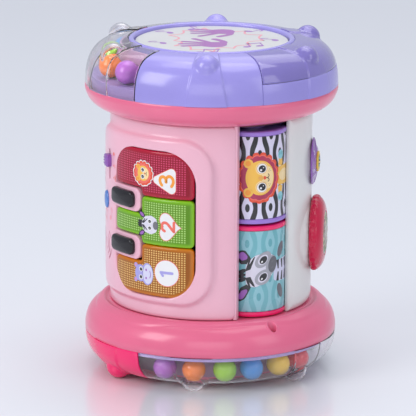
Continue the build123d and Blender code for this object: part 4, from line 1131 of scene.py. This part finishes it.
waves = [
    [(arc(MARKS_AZ) + r * math.cos(a), z + r * math.sin(a)) for a in (-0.7, 0, 0.7)] for z,
    rs in ((176.5, (2.4,)), (166.5, (2.4, 3.9))) for r in rs
]
print_on(
    "shell_marks", "case", "light_pink_shell", on_shell,
    [("coral", marks + [stroke(w, 0.6, 0.3) for w in waves])], side_on=False, lift=0.04
)
notes = [
    s for spec in ((arc(-64), 131, 10), (arc(-78), 128, -12, True), (arc(-80), 158, 8)) for s in note(*spec)
]
for i, shape in enumerate(notes):
    print_on(
        f"shell_note_{i}", "case", "light_pink_shell", on_shell, [("splat", [shape])], side_on=False,
        lift=0.03 + LAYER * (i % 5)
    )

# ------------------------------------------------------------------ rollers
AXIS = tuple(polar(43.0, 55.5, 0)[:2])


def ogee(ground, band, drop, count=18, tall=30.0, radius=28.6, soft=0.0):
    """Wavy bands that swell into eyes, each with a teardrop, side by side round a drum."""

    def more(nodes, links, tone, height, mix, fit, noise):
        def op(kind, a, b=None):
            return calc(nodes, links, kind, a, b)

        u, v = uv_mm(nodes, links)
        wide = 2 * math.pi * radius / count
        column = op("DIVIDE", u, wide)
        number = op("FLOOR", column)
        odd = op("MODULO", number, 2.0)
        across = op("MULTIPLY", op("SUBTRACT", op("SUBTRACT", column, number), 0.5), wide)
        up = op("SUBTRACT", op("FRACT", op("ADD", op("DIVIDE", v, tall), op("MULTIPLY", odd, 0.5))), 0.5)
        swell = op(
            "POWER", op("ADD", op("MULTIPLY", op("COSINE", op("MULTIPLY", up, 2 * math.pi)), 0.5), 0.5), 1.5
        )
        half = op("ADD", op("MULTIPLY", swell, wide * 0.31), wide * 0.16)
        inside = fit(op("SUBTRACT", half, op("ABSOLUTE", across)), 0.0, 1.0, -0.12 - soft, 0.12 + soft)
        away = op(
            "ADD", op("POWER", op("DIVIDE", op("ABSOLUTE", across), wide * 0.19), 2.0),
            op("POWER", op("DIVIDE", up, 0.115), 2.0)
        )
        spot = fit(away, 1.0, 0.0, 0.85, 1.15)
        tone = mix(inside, ground, band)
        return mix(spot, tone, drop), height

    return more


M["lion_print"] = material(
    "lion_print", (0.5, 0.5, 0.5), 0.28, grain=2600.0,
    build_more=ogee((0.012, 0.012, 0.016), (0.72, 0.70, 0.86), (0.012, 0.012, 0.016)), **GLOSS
)
M["zebra_print"] = material(
    "zebra_print", (0.5, 0.5, 0.5), 0.28, grain=2600.0,
    build_more=ogee((0.16, 0.45, 0.50), (0.27, 0.56, 0.62), (0.13, 0.40, 0.45), soft=0.2), **GLOSS
)


def drum(which, low, high, colour):
    """A roller with a turned-up rim at each end."""
    profile = [(3.1, low), (27.0, low)]
    for z, way in ((low, 1), (high, -1)):
        rim = [
            (28.2, z + way * 0.15), (28.9, z + way * 0.7), (29.0, z + way * 1.5), (29.0, z + way * 3.0),
            (28.8, z + way * 3.7), (28.2, z + way * 4.0)
        ]
        profile += rim if way > 0 else rim[::-1]
        if way > 0:
            profile += [(27.8, z + 4.0), (27.8, high - 4.0)]
    profile += [
        (27.0, high), (24.5, high), (24.0, high - 0.5), (11.0, high - 0.5), (10.5, high), (3.1, high)
    ]
    obj = lathe(
        f"roller_{which}", fill_in(np.array(profile, float), 8.0), M[colour], 144, centre=AXIS, sharp=40
    )
    place(obj, f"{which}_roller", "roller_purple" if which == "upper" else "roller_pink", f"roller_{which}")
    sleeve = [
        (27.85, low + 4.3), (28.3, low + 4.3), (28.5, low + 4.5), (28.6, low + 5.0), (28.6, high - 5.0),
        (28.5, high - 4.5), (28.3, high - 4.3), (27.85, high - 4.3)
    ]
    ink = "lion_print" if which == "upper" else "zebra_print"
    obj = lathe(
        f"roller_{which}_print", fill_in(np.array(sleeve, float), 8.0), M[ink], 144, centre=AXIS, sharp=40
    )
    place(obj, f"{which}_roller", ink, f"roller_{which}_print")


M["rim_purple"] = material("rim_purple_plastic", (0.34, 0.20, 0.66), 0.25, **GLOSS)
drum("upper", 136.2, 213.6, "rim_purple")
drum("lower", 58.0, 134.6, "hot_pink")
ROLL = 28.6
on_roller = wrapped(ROLL, 0.0, AXIS)


def big_lion():
    """The roller's lion: a full mane, ears, muzzle and a body with paws, drawn upright."""
    body = rounded([(-8.0, -18), (8.0, -18), (8.6, -36), (-8.6, -36)][::-1], 3.0, 0.5)
    legs = [
        rounded(
            [(s * 8.5, -18.5), (s * 15.5, -19.5), (s * 16.5, -24), (s * 8.5, -25.5)][:: 1 if s < 0 else -1],
            2.0, 0.5
        )
        for s in (-1, 1)
    ]
    paws = twins(18.0, -22.0, 4.0, 3.6)
    layers = [
        ("yellow", [body, *legs]), ("cream", [ellipse(0, -27.5, 5.2, 7.6)]), ("aqua", paws),
        ("teal", [ellipse(s * 19.0, -22.0 + k, 1.6, 0.8) for s in (-1, 1) for k in (-1.4, 1.4)])
    ]
    mane = [scallops(0, 0, r, 17, d) * (1.06, 0.92) for r, d in ((21.0, 2.6), (19.0, 1.6), (18.0, 1.0))]
    layers += [("red", mane[:1]), ("coral", mane[1:2]), ("maroon", mane[2:])]
    ears = twins(12.4, 9.4, 4.0)
    layers += [("yellow", ears + [ellipse(0, -0.8, 14.9, 12.6)]), ("orange", twins(12.5, 9.6, 2.3))]
    layers += [
        ("cream", [ellipse(0, -7.4, 9.6, 5.4), *twins(7.9, -2.0, 5.4, 5.4)]),
        ("tawny", twins(8.1, -2.0, 4.7))
    ]
    layers += [("white", twins(8.1, -2.0, 4.2)), ("black", twins(7.8, -2.3, 3.1))]
    layers += [("white", twins(7.8, -1.2, 0.9, shift=-1.0) + twins(7.8, -3.3, 0.45, shift=1.0))]
    layers += [("tawny", [rounded([(-1.2, 1.0), (-1.6, -3.6), (1.6, -3.6), (1.2, 1.0)][::-1], 1.0, 0.4)])]
    layers += [("red", [rounded([(-2.6, -3.6), (0, -6.4), (2.6, -3.6)], 0.9, 0.3)])]
    smile = [
        stroke([(0, -6.0), (s * 0.5, -7.7), (s * 2.0, -8.4), (s * 3.2, -7.5)], 0.55, 0.3) for s in (-1, 1)
    ]
    whiskers = [
        ellipse(s * x, y, 0.28, n=10) for s in (-1, 1) for x, y in ((5.6, -8.2), (7.2, -8.8), (5.8, -9.9))
    ]
    return layers + [("black", smile + whiskers)]


def big_zebra():
    """The roller's zebra: wide striped ears, grey eye patch and nose, and a striped neck below."""
    head = rounded(
        [(-7, -12), (7, -12), (12, -4), (13.2, 4.5), (8.5, 12), (-8.5, 12), (-13.2, 4.5), (-12, -4)],
        [6, 6, 8, 7, 6, 6, 7, 8], 0.5
    )
    ear = rounded(
        [(8, 9.5), (12.5, 8.0), (20, 12.5), (21.2, 17.4), (16.4, 20.6), (9.4, 15.8)],
        [1.5, 3, 4, 3, 4, 2.5], 0.5
    )
    middle = rounded(
        [(12.2, 11.0), (14.5, 10.4), (19.2, 13.8), (19.4, 16.9), (16.2, 18.4), (12.2, 15.2)],
        [1.2, 2, 3, 2, 3, 2], 0.5
    )
    stripes = [
        rounded(
            [(s * 2.6, 12.4), (s * 11.6, 9.4 - k), (s * 12.8, 7.6 - k), (s * 3.0, 10.2 - 0.6 * k)], 0.4, 0.3
        )
        for s in (-1, 1) for k in (0, 3.4)
    ]
    tufts = [drop_shape(x, 15.6 - 0.25 * abs(x), 3.6, 8.0) for x in (-3.4, 0, 3.4)]
    neck = rounded([(-8, -12), (8, -12), (10, -34), (-10, -34)][::-1], 3.0, 0.6)
    rings = [
        rounded([(-8.4, z), (-1.2, z - 1.6), (-1.2, z - 3.0), (-8.9, z - 3.2)][::-1], 0.5, 0.3)
        for z in (-15, -20.5, -26)
    ]
    layers = [
        ("pale", [neck]), ("black", rings + [r * (-1, 1) for r in [x[::-1] for x in rings]]),
        ("slate", [ellipse(-17, -20, 6.5, 3.4, 24), ellipse(17, -20, 6.5, 3.4, -24)])
    ]
    face = [
        ("black", [ear * (-1, 1), ear] + tufts), ("violet", [middle * (-1, 1), middle]), ("snow", [head]),
        ("black", stripes)
    ]
    face += [
        ("silver", [ellipse(s * 7.2, -2.2, 6.0, 7.0, s * 14) for s in (-1, 1)]),
        ("snow", twins(7.2, -2.0, 3.9, 4.2))
    ]
    face += [("silver", [ellipse(0, -9.4, 7.6, 5.0)]), ("black", twins(7.0, -2.2, 3.0, 3.2))]
    face += [("white", twins(7.0, -1.0, 0.8, shift=-1.0)), ("slate", [ellipse(0, -10.6, 6.4, 4.2)])]
    face += [("grey", twins(2.4, -10.2, 0.9, 1.2))]
    lean = [[1, 0], [-0.33, 1]]  # the muzzle swings to one side
    return layers + [(ink, [np.asarray(s) @ lean + (2.6, 0) for s in shapes]) for ink, shapes in face]


print_on(
    "roller_lion", "upper_roller", "lion_print", on_roller, big_lion(), (math.radians(19.5) * ROLL, 175.2),
    0.97, lift=0.04, cut=1.6
)
print_on(
    "roller_zebra", "lower_roller", "zebra_print", on_roller, big_zebra(),
    (math.radians(19.5) * ROLL + 1.6, 95.5), 1.03, lift=0.04, cut=1.6
)

# ------------------------------------------------------------------ spinner and dial on the right side
def spinner_height(rho):
    return np.interp(rho, [0, 8, 10, 18.8, 19.7], [88.6, 88.6, 88.4, 86.1, 85.7])


def spinner_relief(t, r, h):
    """Six low swirled ribs on the cone."""
    swirl = np.cos(6 * t + 0.35 * (r - 8))
    return r, h + 0.55 * ramp(swirl, 0.55, 0.95) * ramp(r, 9.6, 11.0) * ramp(-r, -18.8, -17.4) * ramp(
        h, 84.9, 85.6
    )


def on_cone(lift):
    """A surface for decals: y and height on the spinner's cone."""
    return lambda y, h: np.stack(
        np.broadcast_arrays(spinner_height(np.hypot(y, h)) + lift, y, SPINNER_Z + h), -1)


def on_lens(y, h):
    """A surface for decals: y and height on the spinner cap's lens."""
    return np.stack(np.broadcast_arrays(91.25 - 0.03 * (y * y + h * h), y, SPINNER_Z + h), -1)


rho = np.linspace(8.0, 19.5, 24)
outline = [(3.1, 84.7), (18.8, 84.7), (19.5, 84.9), (19.8, 85.2)] + [
    (r, float(spinner_height(r))) for r in rho[::-1]
] + [(3.1, 88.6)]
place(
    lathe(
        "spinner", outline, M["purple"], 180, centre=(0, SPINNER_Z), axis="x", shape=spinner_relief,
        sharp=40
    ),
    "spinner", "spinner_purple", "spinner"
)
for i in range(6):
    a = math.radians(60 * i + 22)
    spot = ellipse(15.2 * math.cos(a), 15.2 * math.sin(a), 1.9, n=28)
    middle = ellipse(15.2 * math.cos(a), 15.2 * math.sin(a), 1.25, n=28)
    place(decal(f"spinner_spot_{i}", [spot], INK["pale"], on_cone(0.06), 1.0), "spinner", "spinner_purple")
    place(
        decal(f"spinner_spot_middle_{i}", [middle], INK["violet"], on_cone(0.1), 1.0), "spinner",
        "spinner_purple"
    )


def cap_relief(t, r, h):
    return r * (1 - 0.05 * ramp(r, 7.0, 8.2) * (0.5 - 0.5 * np.cos(10 * t))), h


ring = spline(
    [(8.5, 88.62), (8.7, 89.3), (8.4, 90.0), (7.6, 90.4), (6.8, 90.1), (6.4, 89.6), (6.3, 88.65)], 0.3
)
M["cap_yellow"] = material("cap_yellow_plastic", (0.80, 0.56, 0.05), 0.25, **GLOSS)
place(
    lathe(
        "spinner_cap_ring", ring, M["cap_yellow"], 120, centre=(0, SPINNER_Z), axis="x", shape=cap_relief
    ),
    "spinner", "spinner_yellow", "spinner_cap"
)
lens = [(0, 91.2)] + [(r, 91.2 - 0.03 * r * r) for r in np.linspace(0.8, 6.1, 9)] + [
    (6.25, 88.65), (0, 88.65)
]
place(
    lathe("spinner_cap_lens", lens, M["black"], 96, centre=(0, SPINNER_Z), axis="x", closed=False),
    "spinner", "spinner_yellow", "spinner_cap"
)
for i in range(8):
    a = math.radians(45 * i)
    petal = ellipse(3.6 * math.cos(a), 3.6 * math.sin(a), 1.8, 0.75, 45 * i, 20)
    place(
        decal(f"spinner_petal_{i}", [petal], INK["aqua" if i % 2 else "cream"], on_lens, 0.8), "spinner",
        "spinner_yellow"
    )

DIAL = [
    (84.7, 29.4), (85.2, 30.3), (86.4, 30.9), (88.2, 31.0), (90.2, 30.5), (92.1, 29.2), (93.8, 27.0),
    (95.2, 23.9), (96.0, 21.0), (96.2, 19.6), (96.0, 18.9), (95.4, 18.6)
]


def dial_relief(t, r, h):
    """Raised discs for fingertips round the side, with a low rib between each pair."""
    push = np.zeros_like(r)
    for i in range(12):
        a = math.radians(30 * i + 4)
        along = 31.5 * np.abs((t - a + np.pi) % (2 * np.pi) - np.pi)
        away = np.hypot(along, 1.25 * (h - 87.9))
        push = np.maximum(push, 0.9 * ramp(-away, -4.2, -3.0) - 0.35 * ramp(-away, -2.4, -1.6))
        along = 31.5 * np.abs((t - a - math.radians(15) + np.pi) % (2 * np.pi) - np.pi)
        push = np.maximum(
            push, 0.3 * ramp(-along, -1.6, -0.2) * ramp(h, 85.6, 87.0) * ramp(-h, -92.4, -90.6)
        )
    on_side = ramp(r, 22.9, 24.2)
    return r + push * on_side * np.clip((94.5 - h) / 6, 0, 1), h + 0.6 * push * on_side * np.clip(
        (h - 85.5) / 8, 0, 1
    )


side = spline([(r, x) for x, r in DIAL], 0.45)
outline = np.concatenate(
    [side, [(18.5, 94.2), (6.0, 94.2), (6.0, 92.0), (3.1, 92.0), (3.1, 84.9), (28.0, 84.7)]]
)
place(
    lathe("dial", outline, M["dial"], 432, centre=(0, DIAL_Z), axis="x", shape=dial_relief, sharp=42),
    "dial", "dial_red", "dial"
)


def face_relief(t, r, h):
    """A flower of soft ridges on the dial's face."""
    petals = 0.5 + 0.5 * np.cos(9 * t)
    fine = 0.5 + 0.5 * np.cos(45 * t + 0.6 * r)
    top = ramp(h, 95.6, 95.9)
    return r, h + top * (
        0.45 * petals * ramp(r, 6.5, 10.0) * ramp(-r, -17.6, -15.0)
        + 0.16 * fine * ramp(r, 11.0, 13.0) * ramp(-r, -17.4, -16.4)
    )



def speckled(nodes, links, tone, height, mix, fit, noise):
    """Leafy green and cream flecks on a deep ground."""
    tone = mix(fit(noise(210.0, 1.0), 0.0, 1.0, 0.47, 0.53), tone, (0.12, 0.22, 0.08))
    return mix(fit(noise(330.0, 1.0), 0.0, 1.0, 0.56, 0.62), tone, (0.62, 0.52, 0.30)), height


M["dial_face"] = material(
    "dial_face_texture", (0.20, 0.07, 0.07), 0.3, vary=0.3, build_more=speckled, **GLOSS
)
face = [(0, 97.2)] + [(r, 97.2 - 0.0038 * r * r) for r in np.linspace(0.8, 17.6, 40)] + [
    (18.1, 95.7), (18.4, 95.3), (18.4, 94.3), (0, 94.3)
]
place(
    lathe(
        "dial_face", face, M["dial_face"], 270, centre=(0, DIAL_Z), axis="x", closed=False,
        shape=face_relief, sharp=60
    ),
    "dial", "dial_texture", "dial_face"
)

# ------------------------------------------------------------------ balls
BASE_BALLS = {"purple": -18.5, "orange": -2.2, "green": 14.5, "blue": 29.5, "yellow": 46.5, "red": 62.3}
TOP_BALLS = {"purple": -45.5, "orange": -65.0, "green": -101.0, "blue": -116.0, "yellow": -130.5}
for end, height, balls in (("base", 17.0, BASE_BALLS), ("top", 258.4, TOP_BALLS)):
    for colour, az in balls.items():
        t = np.radians(np.linspace(-90, 90, 61))
        size = 9.7 + 0.06 * np.exp(-((t / 0.02) ** 2))
        x, y, _ = polar(az, TRACK_R, 0)
        ball = lathe(
            f"{end}_ball_{colour}", np.column_stack([size * np.cos(t), height + size * np.sin(t)]),
            BALL[colour], 96, centre=(x, y), closed=False, sharp=180
        )
        middle = Vector((x * MM, y * MM, height * MM))
        # the profile's small ridge is the moulding line, and each ball has it at another tilt
        turned = Matrix.Rotation(math.radians(35 + az), 4, (1, 0.4, 0))
        ball.data.transform(Matrix.Translation(middle) @ turned @ Matrix.Translation(-middle))
        place(ball, f"{end}_{colour}", f"ball_{colour}", f"{end}_ball_{colour}")

# ------------------------------------------------------------------ CAD nodes that stay in sight
STAYING = {
    "steel": (
        "base_screws", "body_screws", "top_screws", "key_hinge_pin", "side_axles", "roller_axle",
        "pad_springs"
    ),
    "nickel": ("battery_contacts",),
    "cell": ("batteries",),
    "board": ("main_board", "control_board"),
    "rubber": ("key_switch_domes", "pad_switch"),
    "paper": ("speaker_cone",),
    "inner": ("core_frame", "roller_washers", "speaker_frame", "pad_stops"),
    "bay": ("roller_bay",),
    "pink": ("base_bottom_plate",),
    "light_pink": ("battery_door",),
}
for key, names in STAYING.items():
    for name in names:
        node = frame["nodes"][name]
        node.data.materials.clear()
        node.data.materials.append(M[key])

# ------------------------------------------------------------------ studio
M["floor"] = material(
    "studio_floor", (0.82, 0.835, 0.87), 0.3, vary=0.01, patch=2.0, relief=0.0, uneven=0.0, Coat_Weight=1.0,
    Coat_Roughness=0.13
)
rings = np.stack([polar(np.arange(0, 360, 5), r, -0.4) for r in (10, 300, 1200, 4000, 12000)])
floor = build(
    "studio_floor", rings.reshape(-1, 3), grid_faces(5, 72, False, True) + [tuple(range(72))], M["floor"],
    sharp=180
)

world = bpy.data.worlds.new("studio")
scene.world = world
world.use_nodes = True
world.node_tree.nodes["Background"].inputs["Color"].default_value = (0.84, 0.88, 1.0, 1)
world.node_tree.nodes["Background"].inputs["Strength"].default_value = 0.62


def softbox(name, place_at, aim, size, watts):
    light = bpy.data.lights.new(name, "AREA")
    light.shape, light.size, light.size_y = "RECTANGLE", *size
    light.energy = watts
    obj = bpy.data.objects.new(name, light)
    scene.collection.objects.link(obj)
    back = Vector(place_at) - Vector(aim)
    obj.matrix_world = Matrix.Translation(place_at) @ back.to_track_quat("Z", "Y").to_matrix().to_4x4()


softbox("key_left", (-1.5, -1.3, 1.3), (0, 0, 0.15), (1.0, 1.3), 21)
softbox("fill_right", (1.7, -1.0, 0.9), (0, 0, 0.15), (0.8, 1.3), 5)
softbox("overhead", (0.1, 0.2, 1.9), (0, 0, 0.2), (1.6, 1.2), 13)
softbox("front_low", (0.2, -2.2, 0.7), (0, 0, 0.1), (1.6, 0.8), 6)
softbox("floor_wash", (0.1, 2.4, 2.6), (0, 2.3, 0), (3.2, 2.6), 24)

# ------------------------------------------------------------------ camera
TURN, PITCH, ROLL_BY, YAW = math.radians(6.5), math.radians(13.447), 0.0054, 0.0008
FAR, HIGH, LENS, SENSOR = 3.0145, 0.8533, 321.0, 36.0  # metres, then millimetres
camera = bpy.data.objects.new("camera", bpy.data.cameras.new("camera"))
scene.collection.objects.link(camera)
camera.data.lens, camera.data.sensor_width = LENS, SENSOR
camera.matrix_world = (
    Matrix.Translation((math.sin(TURN) * FAR, -math.cos(TURN) * FAR, HIGH))
    @ Matrix.Rotation(TURN + YAW, 4, "Z")
    @ Matrix.Rotation(math.radians(90) - PITCH, 4, "X")
    @ Matrix.Rotation(ROLL_BY, 4, "Z")
)
scene.camera = camera

bpy.context.view_layer.update()
